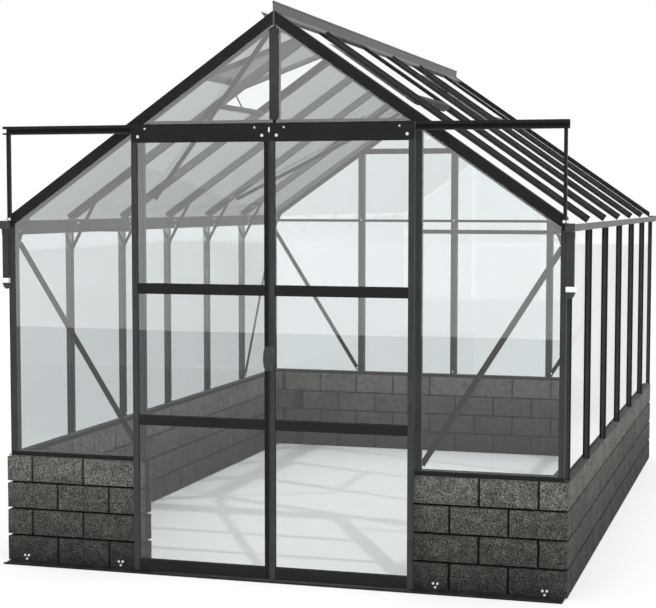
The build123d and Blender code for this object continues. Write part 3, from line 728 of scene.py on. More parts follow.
def block_outline(depth, start_free, end_free, size):
    """Plan of a straight block as (share of length, offset, inward, root offset, root inward)
    rows. Joint ends are cut back by the joint's width over its depth, free ends are square."""
    width, root = size.joint_width, size.joint_depth
    rows = []
    s0 = 0.0 if start_free else width
    s1 = 0.0 if end_free else width
    r0 = root if start_free else ROOT_GAP
    r1 = root if end_free else ROOT_GAP
    steps = np.linspace(0, 1, 9)
    for share in steps:
        offset = s0 * (1 - share) - s1 * share
        inner = r0 * (1 - share) - r1 * share
        rows.append((share, offset, 0.0, inner, root))
    side = np.linspace(0, 1, 4)
    for share in side:
        inward = root + (depth - 2 * root) * share
        rows.append((1.0, 0.0, inward, -root if end_free else 0.0, inward))
    for share in steps[::-1]:
        offset = s0 * (1 - share) - s1 * share
        inner = r0 * (1 - share) - r1 * share
        rows.append((share, offset, depth, inner, depth - root))
    for share in side[::-1]:
        inward = root + (depth - 2 * root) * share
        rows.append((0.0, 0.0, inward, root if start_free else 0.0, inward))
    return np.array(rows)


def wander(points, amount):
    """Slow unevenness: sums of sines of the place, different along each axis, never below the
    ground."""
    x, y, z = points[..., 0], points[..., 1], points[..., 2]
    waves = np.stack([
        np.sin(61 * y + 37 * z) + np.sin(113 * z - 29 * x + 1.3) + np.sin(97 * y + 71 * x),
        np.sin(67 * x + 41 * z) + np.sin(109 * z - 31 * y + 2.1) + np.sin(101 * x + 59 * y),
        0.5 * np.sin(53 * x + 47 * y) + 0.5 * np.sin(89 * y - 83 * x + 0.7)], -1)
    return np.maximum(points + waves * amount / 2, [-np.inf, -np.inf, 0.0])


def course_levels(z, size, count=4):
    """Heights of a block's rows, and how far each row is drawn to its root outline."""
    inner = np.linspace(z[0] + size.joint_width, z[1] - size.joint_width, count)
    return np.concatenate([[z[0]], inner, [z[1]]]), np.array([1.0] + [0.0] * count + [1.0])


def tone_with_joint_shade(tone, draw, at_root, z):
    """Tone of a block's points: its own on its faces, and -1 at the root of its joints, which the
    stone finish turns into painted shade deep in each joint. The top of the wall is a face."""
    upper = z[1] > WALL_TOP - 0.001
    rows = draw.astype(bool) & ~(upper & (np.arange(len(draw)) == len(draw) - 1))
    return np.where(rows[:, None] | at_root, -1.0, tone)


def straight_blocks(edges, z, origin, along, inward, depth, free, size, random):
    """Blocks between neighbouring edges of one course. A point is origin + s*along + t*inward,
    with s and t between the face outline and the root outline by the row's draw."""
    edges = np.asarray(edges, float)
    lengths = np.diff(edges)
    heights, draw = course_levels(z, size)
    shapes = []
    count = len(lengths)
    kinds = [(free[0] and n == 0, free[1] and n == count - 1) for n in range(count)]
    for kind in sorted(set(kinds)):
        chosen = [n for n in range(count) if kinds[n] == kind]
        plan = block_outline(depth, *kind, size)
        length = lengths[chosen][:, None, None]
        first = edges[:-1][chosen][:, None, None]
        pull = draw[None, :, None]
        s = first + plan[:, 0] * length + plan[:, 1] * (1 - pull) + plan[:, 3] * pull
        t = plan[:, 2] * (1 - pull) + plan[:, 4] * pull + 0 * s
        points = (origin + s[..., None] * along + t[..., None] * inward
                  + heights[None, :, None, None] * Z)
        tone = tone_with_joint_shade(random.random((len(chosen), 1, 1)), draw, plan[:, 2] % depth > 0, z)
        shapes.append(grid(wander(points, size.roughness), tone))
    return shapes


def corner_block(legs, z, origin, first, second, depth, size, random):
    """L-shaped corner block. Its plan runs round both outer faces, both joint ends and both
    inner faces; each plan point has a root point moved in by the joint's depth."""
    width, root = size.joint_width, size.joint_depth
    a, b = legs
    inner = depth - root
    rows = [(0, 0, root, root)]
    for share in np.linspace(0.25, 1, 4):
        rows.append(((a - width) * share, 0, max((a - ROOT_GAP) * share, root), root))
    rows += [(a, root, a, root + ROOT_GAP), (a, inner, a, inner - ROOT_GAP),
             (a - width, depth, a - 2 * ROOT_GAP, inner), (depth, depth, inner, inner),
             (depth, b - width, inner, b - 2 * ROOT_GAP), (inner, b, inner - ROOT_GAP, b),
             (root, b, root + ROOT_GAP, b)]
    for share in np.linspace(1, 0.25, 4):
        rows.append((0, (b - width) * share, root, max((b - ROOT_GAP) * share, root)))
    plan = np.array(rows, float)
    heights, draw = course_levels(z, size)
    pull = draw[:, None]
    p = plan[:, 0] * (1 - pull) + plan[:, 2] * pull
    q = plan[:, 1] * (1 - pull) + plan[:, 3] * pull
    points = origin + p[..., None] * first + q[..., None] * second + heights[:, None, None] * Z
    at_root = (np.minimum(plan[:, 0], plan[:, 1]) > 0) & (np.maximum(*plan[:, :2].T) > depth)
    tone = tone_with_joint_shade(random.random((1, 1)), draw, at_root, z)
    return grid(wander(points, size.roughness), tone)


def wall_shapes(size):
    """Shapes of the front, side and back walls. The corner blocks' long legs lie along the front
    and along the sides in turn, so the joints are in half bond."""
    face, start, stop = high("side_walls")[0], low("side_walls")[1], high("side_walls")[1]
    depth = high("front_walls")[1] - low("front_walls")[1]
    levels = np.linspace(0, WALL_TOP, COURSES + 1)
    random = np.random.default_rng(SEED)
    length = stop - start
    short = size.corner_short
    short_front = short + face - HALF + start - FRONT
    tall_leg = short + (length - 2 * short) / SIDE_BLOCKS / 2
    front, side, back = [], [], []
    for number in range(COURSES):
        z, is_short = levels[number:number + 2], number % 2 == 1
        front_leg = short_front + (0 if is_short else size.block_length / 2)
        side_leg = tall_leg if is_short else short
        for sign in (1, -1):
            corner, inward = np.array([sign * face, start, 0]), -sign * X
            for y, way in ((start, Y), (stop, -Y)):
                side.append(corner_block((front_leg, side_leg), z, np.array([sign * face, y, 0]),
                                         inward, way, depth, size, random))
            edges = np.linspace(side_leg, length - side_leg, SIDE_BLOCKS + (0 if is_short else 1))
            side += straight_blocks(edges, z, corner, Y, inward, depth, (False, False), size,
                                    random)
            edges = [front_leg, front_leg + size.block_length, face - nearest("front_walls")]
            front += straight_blocks(edges, z, corner, inward, Y, depth, (False, True), size,
                                     random)
        right = np.arange(face - front_leg, 0, -size.block_length)
        left = -right if is_short else -right[:-1]
        back += straight_blocks(np.sort(np.concatenate([right, left])), z,
                                np.array([0, stop, 0]), X, -Y, depth, (False, False), size, random)
    return front, side, back


# ------------------------------------------------------------ glazing bars and posts

BAR = section(
    [(-22.5, 0), (22.5, 0), (22.5, 6), (10, 6), (10, 10), (22.5, 10), (22.5, 50), (3.5, 50),
     (3.5, 45), (7.5, 45), (7.5, 39), (-7.5, 39), (-7.5, 45), (-3.5, 45), (-3.5, 50),
     (-22.5, 50), (-22.5, 10), (-10, 10), (-10, 6), (-22.5, 6)],
    [(0, 12, 1.6, 0.8), (0, 33, 1.6, 0.8), (5, 24, 3, 1.6), (15, 16, 3, 1.6)])

POST = section(
    [(0, 0), (30, 0), (30, 50), (0, 50)],
    [(0, 10, 1.6, 0.8), (0, 20, 1.6, 0.8), (1, 32, 7, 5), (2, 15, 7, 5), (3, 14, 2.5, 1.5),
     (3, 30, 2.5, 1.5)])


def seals(size, half, outer, inner):
    """Small rubber strips beside a bar, outside and inside the glass, as outlines."""
    s = size.seal * 1000
    strips = []
    for side in (1, -1):
        a, b = side * half, side * (half + s)
        bevel = a + side * s * 0.4
        for face, way in ((outer, -1), (inner, 1)):
            strips.append(section([(a, face), (b, face), (b, face + way * s * 0.5),
                                   (bevel, face + way * s)], cut=0.2))
    return strips


def upright(outline, x, y, across, up, start, end):
    """Outline carried upwards from the farthest of the start planes to the nearest end plane."""
    return carried(outline, (x, y, 0.0), across, up, Z, start, end)


SLIM_BAR = section(
    [(-7, -20), (7, -20), (7, -13), (6, -13), (6, -12), (7, -12), (7, -4), (5, -4), (5, 5), (4, 6),
     (4, 10), (8, 10.2), (8, 15.8), (-8, 15.8), (-8, 10.2), (-4, 10), (-4, 6), (-5, 5), (-5, -4),
     (-7, -4), (-7, -12), (-6, -12), (-6, -13), (-7, -13)], (), 0.3)

SLIM_STRIPS = (
    section([(-8, -29.5), (8, -29.5), (8, -20.1), (-8, -20.1)], [(0, 8, 3, 1.5)], 1.5),
    section([(5.1, -3.9), (8.5, -3.9), (8.5, 5.9), (5.1, 5.9)], (), 0.3),
    section([(-5.1, -3.9), (-8.5, -3.9), (-8.5, 5.9), (-5.1, 5.9)], (), 0.3))


def side_bars():
    """Slim bars of both side walls and the black strips along their edges."""
    ends = [SILL_BASE], [GUTTER_LOW]
    steps = np.outer(np.arange(1, BAYS), Y * BAY)
    bar = upright(SLIM_BAR, HALF, FRONT, Y, -X, *ends)
    strips = [upright(strip, HALF, FRONT, Y, -X, *ends) for strip in SLIM_STRIPS]
    return left_too([moved(bar, steps)]), left_too([moved(strip, steps) for strip in strips])


BRACE = section([(-15, 0), (15, 0), (15, 6), (12.5, 6), (12.5, 2.5), (-12.5, 2.5), (-12.5, 6),
                 (-15, 6)], (), 0.4)


def wall_braces():
    """Channel diagonals in the outer bays of the end walls and the last bays of the side walls,
    with a bolt at each end."""
    low_z, high_z = SILL_TOP + 0.020, low("eave_beams")[2] - 0.045
    end_y, side_x = FRONT + 0.054, high("wall_braces")[0]
    bolt_inset, web, radius = 0.012, 0.0025, 0.005
    runs = [((GABLE_BAY + 0.020, end_y, low_z), (HALF - 0.030, end_y, high_z), Y),
            ((side_x, BACK - BAY, low_z), (side_x, BACK - 0.074, high_z), -X)]
    bars, heads = [], []
    for number, (foot, head, inward) in enumerate(runs):
        foot, head = np.array(foot), np.array(head)
        along = (head - foot) / np.linalg.norm(head - foot)
        bar = [carried(BRACE, foot, np.cross(along, inward), inward, along, [(foot, along)],
                       [(head, along)])]
        ends = [foot + bolt_inset * along + web * inward, head - bolt_inset * along + web * inward]
        pair = bolts(ends, inward, radius)
        bars += left_too(back_too(bar) if number == 0 else bar)
        heads += left_too(back_too(pair) if number == 0 else pair)
    return bars, heads


def corner_plates():
    """Plates inside the four corners behind the end rafters, tapering down to the braces, and
    small plates where the braces stand."""
    outer, inner, beam = HALF * 1000 - 13, HALF * 1000 - 30, low("eave_beams")[2] * 1000
    tip, foot, sill = inner - 62, GABLE_BAY * 1000 + 22, SILL_TOP * 1000
    def under(x, offset):
        return x, roof_z(x / 1000, offset) * 1000
    corner = section([(outer, beam - 42), under(outer, -0.032), under(tip, -0.032),
                      under(tip, -0.066), (inner - 20, beam), (inner - 5, beam - 42)], (), 0.2)
    stand = box_section((foot - 42, foot), (sill, sill + 42), (), 0.3)
    plates = [lengthwise(outline, FRONT + END_FRAME, FRONT + END_FRAME + 0.004)
              for outline in (corner, stand)]
    return left_too(back_too(plates))


def gable_ends():
    """Planes under the end rafters."""
    return [at_slope(-RAFTER_DEPTH), at_slope(-RAFTER_DEPTH, -1)]


def corner_posts():
    """Corner posts and their wings outside, with the black strip along each wing's edge."""
    post = upright(POST, HALF, FRONT, -X, Y, [SILL_TOP], gable_ends())
    wing = section([(0, 28), (16, 28), (16, 50), (0, 50)], [(0, 6, 2, 1), (2, 8, 2, 1)])
    edge = section([(16, 28), (22, 28), (22, 50), (16, 50)], [(0, 3, 2, 1)])
    ends = [SILL_BASE], [GUTTER_LOW]
    return (left_too(back_too([post, upright(wing, HALF, FRONT, X, Y, *ends)])),
            left_too(back_too([upright(edge, HALF, FRONT, X, Y, *ends)])))


def end_bars(size):
    """Jambs, the back wall's bars and the short bar over the door."""
    metal, rubber = [], []
    over_door = high("gable_beams")[2]
    for outline, store in [(BAR, metal)] + [(s, rubber) for s in seals(size, 22.5, 6, 10)]:
        jamb = upright(outline, GABLE_BAY, FRONT, X, Y, [SILL_TOP], gable_ends())
        store += left_too([jamb])
        for x in (-GABLE_BAY, 0.0, GABLE_BAY):
            store.append(upright(outline, x, BACK, X, -Y, [SILL_TOP], gable_ends()))
        store.append(upright(outline, 0.0, FRONT, X, Y, [over_door], gable_ends()))
    return metal, rubber


def level_beams():
    """Door lintel and back beams, grooved on both faces, and cross bars at eave height."""
    z = low("gable_beams")[2] * 1000, high("gable_beams")[2] * 1000
    lintel = box_section((10, 50), z, [(1, 12, 2.5, 1.4), (1, 30, 2.5, 1.4), (3, 21, 7, 4)])
    z = low("cross_bars")[2] * 1000, high("cross_bars")[2] * 1000
    bar = box_section((25, 50), z, [(1, 10, 3, 1.5)])
    front, back = (0, FRONT, 0), (0, BACK, 0)
    jamb = [at_x(GABLE_BAY - BAR_HALF)]
    inner = [at_x(BAR_HALF)], jamb
    outer = [at_x(GABLE_BAY + BAR_HALF)], [at_x(HALF - POST_WIDTH)]
    over_door = carried(lintel, front, Y, Z, X, [at_x(BAR_HALF - GABLE_BAY)], jamb)
    beam = carried(lintel, back, -Y, Z, X, inner[0], jamb + [at_slope(-RAFTER_DEPTH)])
    bars = [carried(bar, front, Y, Z, X, *outer), carried(bar, back, -Y, Z, X, *outer),
            carried(bar, back, -Y, Z, X, *inner)]
    return [over_door] + left_too([beam]) + left_too(bars)


def sills():
    """Sill rails. The side rails are a base under the bars with a body inside the glass."""
    z0, z1 = low("sill_rails")[2] * 1000, high("sill_rails")[2] * 1000
    rail = section([(0, z0), (64, z0), (64, z1), (0, z1)],
                   [(3, 7, 2, 1.2), (3, 15, 2, 1.2), (1, 11, 3, 1.5), (2, 30, 6, 2.5)])
    base = SILL_BASE * 1000
    long = section([(-22, z0), (64, z0), (64, z1), (16, z1), (16, base), (5, base), (5, base + 7),
                    (1, base + 7), (0, base), (-22, base)],
                   [(1, 11, 3, 1.5), (2, 20, 6, 2.5)], 0.4)
    seat = section([(0, base), (16, base), (16, z1), (0, z1)], (), 0.4)
    inner, door = HALF - 0.065, nearest("front_walls")
    ways = (HALF, 0, 0), -X, Z, Y, [at_y(FRONT)]
    side = [carried(long, *ways, [at_y(BACK)])]
    side += back_too([carried(seat, *ways, [at_y(FRONT + END_FRAME)])])
    front = carried(rail, (0, FRONT, 0), Y, Z, X, [at_x(door)], [at_x(inner)])
    back = carried(rail, (0, BACK, 0), -Y, Z, X, [at_x(-inner)], [at_x(inner)])
    return left_too(side + [front]) + [back]


# ------------------------------------------------------------ roof

RIDGE_HALF, FLASHING = 0.018, 0.070     # half width of the core, and the flashing's reach


def gable_rafters():
    """Rafters over both end walls, cut plumb at the ridge and at the eaves."""
    outline = section(
        [(0, 0), (0, -54), (10, -54), (10, -64), (50, -64), (50, 0)],
        [(0, 14, 1.6, 0.8), (0, 40, 1.6, 0.8), (3, 20, 7, 5), (4, 26, 7, 4), (5, 12, 2.5, 1.2),
         (5, 38, 2.5, 1.2)])
    rafter = carried(outline, (0, FRONT, APEX), Y, OUT, DOWN, [at_x(0.004)], [at_x(HALF)])
    return left_too(back_too([rafter]))


def roof_bars():
    """Slim roof bars, mostly above the glass, with black strips along their edges. Below the
    flashing they are lower, and at the eaves they end square to the slope."""
    under = box_section((-7.4, 7.4), (-29.6, -11.2), (), 0.4)
    lip = section([(-4, -30.2), (-4, -34), (-8, -34.2), (-8, -39.8), (8, -39.8), (8, -34.2),
                   (4, -34), (4, -30.2)], (), 0.3)
    body = section([(-7.4, -30), (7.4, -30), (7.4, -22), (5.5, -22), (5.5, -15), (7.4, -15),
                    (7.4, 2.5), (-7.4, 2.5), (-7.4, -15), (-5.5, -15), (-5.5, -22),
                    (-7.4, -22)], (), 0.3)
    strips = [section([(-8, 2.6), (8, 2.6), (8, 8), (-8, 8)], [(2, 8, 3, 1.5)], 0.6)]
    for side in (1, -1):
        strips.append(section([(side * 5.6, -21.8), (side * 7.8, -21.4), (side * 7.8, -15.6),
                               (side * 5.6, -15.2)], (), 0.2))
    origin, ways = (0, FRONT, APEX), (Y, OUT, DOWN)
    ridge_side, past = at_x(RIDGE_HALF), (on_slope(FLASHING + 0.001, 0, 0), DOWN)
    end = on_slope(BAR_RUN, 0, 0), DOWN
    steps = np.outer(np.arange(1, BAYS), Y * BAY)
    metal = [carried(under, origin, *ways, [ridge_side], [past]),
             carried(lip, origin, *ways, [ridge_side], [at_x(HALF - 0.02)]),
             carried(body, origin, *ways, [past], [end])]
    rubber = [carried(strip, origin, *ways, [past], [end]) for strip in strips]
    return (left_too([moved(shape, steps) for shape in metal]),
            left_too([moved(shape, steps) for shape in rubber]))


def ridge():
    """Ridge: core with sloping flashings, and a crest plate with a round bead."""
    bottom = low("ridge_beam")[2] * 1000
    half, bead_radius, plate_half = RIDGE_HALF * 1000, 7.5, 4
    right = [on_slope(FLASHING, 0, offset)[[0, 2]] * 1000 for offset in (-0.005, -0.011)]
    right += [(half, roof_z(RIDGE_HALF, -0.011) * 1000), (half, bottom)]
    left = [(-a, b) for a, b in right[::-1]]
    grooves = [(0, 12, 2, 1.2), (0, 50, 2, 1.2), (3, 30, 4, 2), (5, 40, 4, 2), (7, 20, 2, 1.2),
               (7, 58, 2, 1.2)]
    core = section([(0, roof_z(0, -0.005) * 1000)] + right + left, grooves)
    middle = (high("ridge_beam")[2] - bead_radius / 1000) * 1000
    angles = np.radians(np.linspace(-57, 237, 15))
    bead = bead_radius * np.stack([np.cos(angles), np.sin(angles)], -1) + [0, middle]
    plate = np.concatenate([[(plate_half, bottom)], bead, [(-plate_half, bottom)]]) / 1000
    return [lengthwise(core, FRONT + END_FRAME, BACK - END_FRAME), lengthwise(plate, FRONT, BACK)]


def eave_beams():
    """Beams under the roof's edges, with an upstand for the glass."""
    z0, z1 = low("eave_beams")[2] * 1000, 1000 * (EAVE - 0.033)
    x, step = HALF * 1000, GUTTER_LOW * 1000
    top_in, top_out = (roof_z(HALF - inset, -GLASS_BED) * 1000 for inset in (0.02, 0))
    outline = section(
        [(x - 16, z0), (x - 16, step), (x, step), (x, top_out), (x - 20, top_in), (x - 20, z1),
         (x - 50, z1), (x - 50, z0)],
        [(6, 20, 7, 5), (6, 50, 3, 1.5), (7, 17, 7, 4)], 0.6)
    return left_too([lengthwise(outline, FRONT + END_FRAME, BACK - END_FRAME)])


# ------------------------------------------------------------ rainwater

def gutters():
    """Open gutter: a trough with curved lower corners and a rolled outer lip."""
    x0, x1 = HALF * 1000, high("gutters")[0] * 1000
    z0, z1 = low("gutters")[2] * 1000, high("gutters")[2] * 1000
    turn = np.radians([0, 30, 60, 90])
    r, wall = 9.0, 3
    inner_top = roof_z(HALF, -GLASS_BED) * 1000 - 1
    outer = [(x0, inner_top), (x0, z0 + 0.01)] + [
        (x1 - r + r * np.sin(a), z0 + r - r * np.cos(a)) for a in turn]
    lip = [(x1, z1 - 8), (x1, z1 - 1.5), (x1 - 1.5, z1), (x1 - 5.5, z1), (x1 - 7, z1 - 1.5),
           (x1 - 7, z1 - 6), (x1 - 5.5, z1 - 7), (x1 - 3, z1 - 7)]
    inner = [(x1 - wall - (r - wall) + (r - wall) * np.sin(a), z0 + r - (r - wall) * np.cos(a))
             for a in turn[::-1]] + [(x0 + 2.5, z0 + wall), (x0 + 2.5, inner_top)]
    outline = np.array(outer + lip + inner) / 1000
    return left_too([lengthwise(outline, low("gutters")[1], high("gutters")[1])])


def gutter_end_caps():
    """Moulded caps: a plate with a softened outline and a raised rim."""
    lo, hi = low("gutter_end_caps"), high("gutter_end_caps")
    x0, x1, z0, z1 = (HALF - 0.004) * 1000, hi[0] * 1000, lo[2] * 1000, hi[2] * 1000
    plate = section([(x0, z0 + 5), (x0 + 4, z0), (x1 - 11, z0), (x1, z0 + 11), (x1, z1), (x0, z1)])
    face = section([(x0 + 5, z0 + 9), (x0 + 8, z0 + 5), (x1 - 13, z0 + 5), (x1 - 5, z0 + 13),
                    (x1 - 5, z1 - 5), (x0 + 5, z1 - 5)])
    y = lo[1]
    return left_too(back_too([lengthwise(plate, y + 0.002, y + 0.008),
                              lengthwise(face, y, y + 0.003)]))


QUARTERS = ((1, 1), (-1, 1), (-1, -1), (1, -1))
ARC_POINTS = 5
PIPE_OUT = 0.020           # from the house side to the middle of the downpipes


def rounded(half_wide, half_tall, radius):
    """Rectangle with quarter circles for corners: centre + radius * (cos, sin), corner by
    corner."""
    turn = np.linspace(0, np.pi / 2, ARC_POINTS)
    return np.concatenate([
        np.stack([a * (half_wide - radius) + radius * np.cos(turn + number * np.pi / 2),
                  b * (half_tall - radius) + radius * np.sin(turn + number * np.pi / 2)], -1)
        for number, (a, b) in enumerate(QUARTERS)])


def square_tube(centre, rows):
    """Square tube with rounded corners: a closed ring of rows (half width, radius, height)."""
    points = np.stack([
        np.column_stack([rounded(half, half, radius), np.full(4 * ARC_POINTS, height)])
        for half, radius, height in rows])
    return grid(points + centre, ring=True)


def pipe_place(node):
    """Middle of a downpipe piece on the ground plan, and its lowest and highest z."""
    lo, hi = low(node), high(node)
    return np.array([HALF + PIPE_OUT, (lo[1] + hi[1]) / 2, 0]), lo[2], hi[2]


def downpipes():
    """Hollow square pipes with a joint bead."""
    centre, z0, z1 = pipe_place("downpipes")
    return left_too([square_tube(centre, [
        (0.0175, 0.006, z0), (0.0175, 0.006, z1 - 0.035), (0.019, 0.0063, z1 - 0.032),
        (0.019, 0.0063, z1), (0.0155, 0.004, z1), (0.0155, 0.004, z0)])])


def downpipe_collars():
    """Square collars with a softened rim and a step, flat against the house."""
    centre, z0, z1 = pipe_place("downpipe_collars")
    tube = square_tube(centre, [
        (0.021, 0.006, z0), (0.0245, 0.006, z0 + 0.002), (0.027, 0.007, z0 + 0.005),
        (0.027, 0.007, z1 - 0.003), (0.0255, 0.006, z1), (0.0172, 0.005, z1),
        (0.0172, 0.005, z0)])
    tube.points[:, 0] = np.maximum(tube.points[:, 0], HALF)
    return left_too([tube])


def downpipe_spouts():
    """Turned outlets: a cone with a rounded nose and an open bore."""
    centre, z0, z1 = pipe_place("downpipe_spouts")
    profile = [(0.018, z1), (0.0225, z1), (0.024, z1 - 0.004), (0.020, z1 - 0.016),
               (0.012, z0 + 0.004), (0.009, z0), (0.006, z0), (0.012, z1 - 0.012)]
    angles = 2 * np.pi * np.arange(20) / 20
    ring = np.stack([np.cos(angles), np.sin(angles), 0 * angles], -1)
    points = np.stack([centre + r * ring + h * Z for r, h in profile])
    points[..., 0] = np.clip(points[..., 0], HALF, high("downpipe_spouts")[0])
    return left_too([grid(points, ring=True)])


# ------------------------------------------------------------ door leaves

def leaf_pieces(size):
    """Right leaf's shapes by piece name; the left leaf is its mirror image."""
    y = low("right_door_stiles")[1] * 1000, high("right_door_stiles")[1] * 1000
    x0, x1 = low("right_door_header")[0] * 1000, high("right_door_header")[0] * 1000
    foot = low("right_door_stiles")[2]
    header_low, header_high = (corner("right_door_header")[2] * 1000 for corner in (low, high))
    inner, outer = x0 + 25, x1 - 30
    meeting = box_section((x0, inner), y, [(0, 6, 1.6, 0.9), (2, 6, 1.6, 0.9), (3, 12, 5, 3)])
    hanging = box_section((outer, x1), y, [(0, 24, 1.6, 0.9), (2, 6, 1.6, 0.9), (1, 8, 2, 1.2),
                                           (1, 16, 2, 1.2)])
    stiles = [upwards(outline, foot, header_low / 1000) for outline in (meeting, hanging)]
    rails = []
    levels = rail_levels("right_door_rails")
    for bottom, top in levels:
        z = bottom * 1000, top * 1000
        rail = box_section(y, z, [(3, 6, 1.6, 0.9), (3, z[1] - z[0] - 6, 1.6, 0.9),
                                  (1, (z[1] - z[0]) / 2, 6, 2)])
        rails.append(crosswise(rail, inner / 1000, outer / 1000))
    tall = header_high - header_low
    plate = box_section(y, (header_low, header_high), [
        (3, 8, 1.6, 0.9), (3, tall / 2, 2.4, 1.2), (3, tall - 8, 1.6, 0.9), (1, 20, 3, 1.4)])
    return {"stiles": stiles, "rails": rails,
            "header": [crosswise(plate, x0 / 1000, x1 / 1000)],
            "seals": leaf_seals(size, inner / 1000, outer / 1000, levels, header_low / 1000)}


def rail_levels(node):
    """Height ranges of the level rails in a node, from its vertices."""
    heights = np.unique(np.round(points_of(node)[:, 2].astype(float), 4))
    return list(zip(heights[::2], heights[1::2]))


def leaf_seals(size, x0, x1, levels, header_low):
    """Rubber strips round each pane of a leaf, on both faces of the glass."""
    s = size.seal
    bead = section([(0, 0), (s * 1000, 0), (s * 600, s * 900), (0, s * 1000)], cut=0.2)
    glass = low("right_door_glass")[1], high("right_door_glass")[1]
    lows = [level[1] for level in levels]
    highs = [level[0] for level in levels[1:]] + [header_low]
    strips = []
    for z0, z1 in zip(lows, highs):
        for y, way in zip(glass, (-Y, Y)):
            strips += [carried(bead, (x, y, 0), to_middle, way, Z, [at_z(z0)], [at_z(z1)])
                       for x, to_middle in ((x0, X), (x1, -X))]
            strips += [carried(bead, (0, y, z), to_middle, way, X, [at_x(x0 + s)], [at_x(x1 - s)])
                       for z, to_middle in ((z0, Z), (z1, -Z))]
    return strips


def handle_shapes():
    """Right leaf's pull: a plate with rounded corners and an upright grip on two feet."""
    lo, hi = low("right_door_handle"), high("right_door_handle")
    half_wide, radius, back = 0.010, 0.006, hi[1]
    tall = hi[2] - lo[2]
    outline = rounded(half_wide, tall / 2, radius)
    centre = np.array([lo[0] + half_wide, back, (lo[2] + hi[2]) / 2])
    rows = []
    for shrink, depth in ((0, 0), (0, 0.006), (0.0012, 0.0085), (0.003, 0.0098), (0.0055, 0.010)):
        scaled = outline * [1 - shrink / half_wide, 1 - shrink / (tall / 2)]
        rows.append(centre + scaled[:, :1] * X + scaled[:, 1:] * Z - depth * Y)
    share = np.linspace(0, 1, 17)
    bulge = np.sin(np.pi * share) ** 0.35
    path = np.stack([lo[0] + 0.0175 + 0.0065 * bulge, back - 0.0045 - 0.0072 * bulge,
                     lo[2] + 0.012 + (tall - 0.024) * share], -1)
    return [grid(np.stack(rows)), tubed(path, 0.0038, 10)]


def header_bolts():
    """Two bolts at each end of the right leaf's header: a large one low down and a small one
    higher and farther in."""
    lo, hi = low("right_door_header"), high("right_door_header")
    large = [(x, lo[1], lo[2] + 0.028) for x in (lo[0] + 0.036, hi[0] - 0.038)]
    small = [(x, lo[1], hi[2] - 0.023) for x in (lo[0] + 0.075, hi[0] - 0.077)]
    return bolts(large, -Y, 0.0055, 0.003, 12) + bolts(small, -Y, 0.0035, 0.002, 12)


def meeting_seal():
    """Black strip over the front of the right leaf's meeting stile; the left leaf wears it."""
    lo, header = low("right_door_stiles"), low("right_door_header")
    x0, y0 = header[0] * 1000, lo[1] * 1000
    outline = box_section((x0 + 1.5, x0 + 24), (y0 - 1.5, y0 - 0.05),
                          [(0, 7, 2, 0.8), (0, 15, 2, 0.8)], 0.3)
    return upwards(outline, lo[2] + 0.002, header[2] - 0.001)


def door_stop():
    """White stop in front of the track, where the two leaves meet."""
    top = low("door_track")
    front = min(top[1], low("right_door_header")[1]) * 1000
    outline = box_section((-3.5, 3.5), (front - 4, front - 0.2), (), 1.0)
    return [upwards(outline, top[2] - 0.004, top[2] + 0.020)]


def roller_shapes():
    """Right leaf's wheels: a grooved tyre with a hub, and the axle."""
    lo, hi = low("right_door_rollers"), high("right_door_rollers")
    radius, wide = 0.013, 0.012
    places = [(x, hi[1], hi[2] - radius) for x in (lo[0] + radius, hi[0] - radius)]
    wheel = [(0.004, 0), (0.006, 0.0005), (0.0065, 0.001), (0.0105, 0.001), (radius, 0.0015),
             (radius, 0.0035), (0.0115, 0.006), (radius, 0.0085), (radius, 0.0105),
             (0.0105, 0.011), (0.0065, 0.011), (0.006, wide), (0.004, wide)]
    axle = [(0.004, 0), (0.004, hi[1] - wide - lo[1])]
    return ([turned(wheel, 24, place, -Y) for place in places],
            [turned(axle, 12, place - wide * Y, -Y) for place in places])


def track_shapes():
    """Door track: a C-shaped channel, open to the front, with ribs on its top and back."""
    lo, hi = low("door_track"), high("door_track")
    y0, y1, z0, z1 = lo[1] * 1000, hi[1] * 1000, lo[2] * 1000, hi[2] * 1000
    w = 4
    outline = section(
        [(y0, z0), (y1, z0), (y1, z1), (y0, z1), (y0, z1 - 14), (y0 + w, z1 - 14),
         (y0 + w, z1 - w), (y1 - w, z1 - w), (y1 - w, z0 + w), (y0 + w, z0 + w),
         (y0 + w, z0 + 9), (y0, z0 + 9)],
        [(2, 12, 2, 1.2), (2, 32, 2, 1.2), (0, 12, 2, 1.2), (0, 32, 2, 1.2)], 0.5)
    return [crosswise(outline, lo[0], hi[0])]


def guide_shapes():
    """Ground guide: a plate with a bevelled front edge and two low ribs."""
    lo, hi = low("door_guide_rail"), high("door_guide_rail")
    y0, y1, top = lo[1] * 1000, hi[1] * 1000, hi[2] * 1000
    floor = 6
    outline = section(
        [(y0, 0), (y1, 0), (y1, top), (y1 - 6, top), (y1 - 6, floor), (y0 + 6, floor),
         (y0 + 6, top), (y0 + 3, top), (y0, top - 4)],
        [(4, 20, 2, 1), (4, 50, 2, 1)])
    return [crosswise(outline, lo[0], hi[0])]


# ------------------------------------------------------------ roof vents

VENT_BAYS, OPEN_LEFT_BAY, OPEN_ANGLE = (2, 5), 2, math.radians(15)
VENT_DOWN, VENT_RISE, VENT_GAP = 0.073, 0.008, 0.011   # from the apex, the slope and the bay's edge


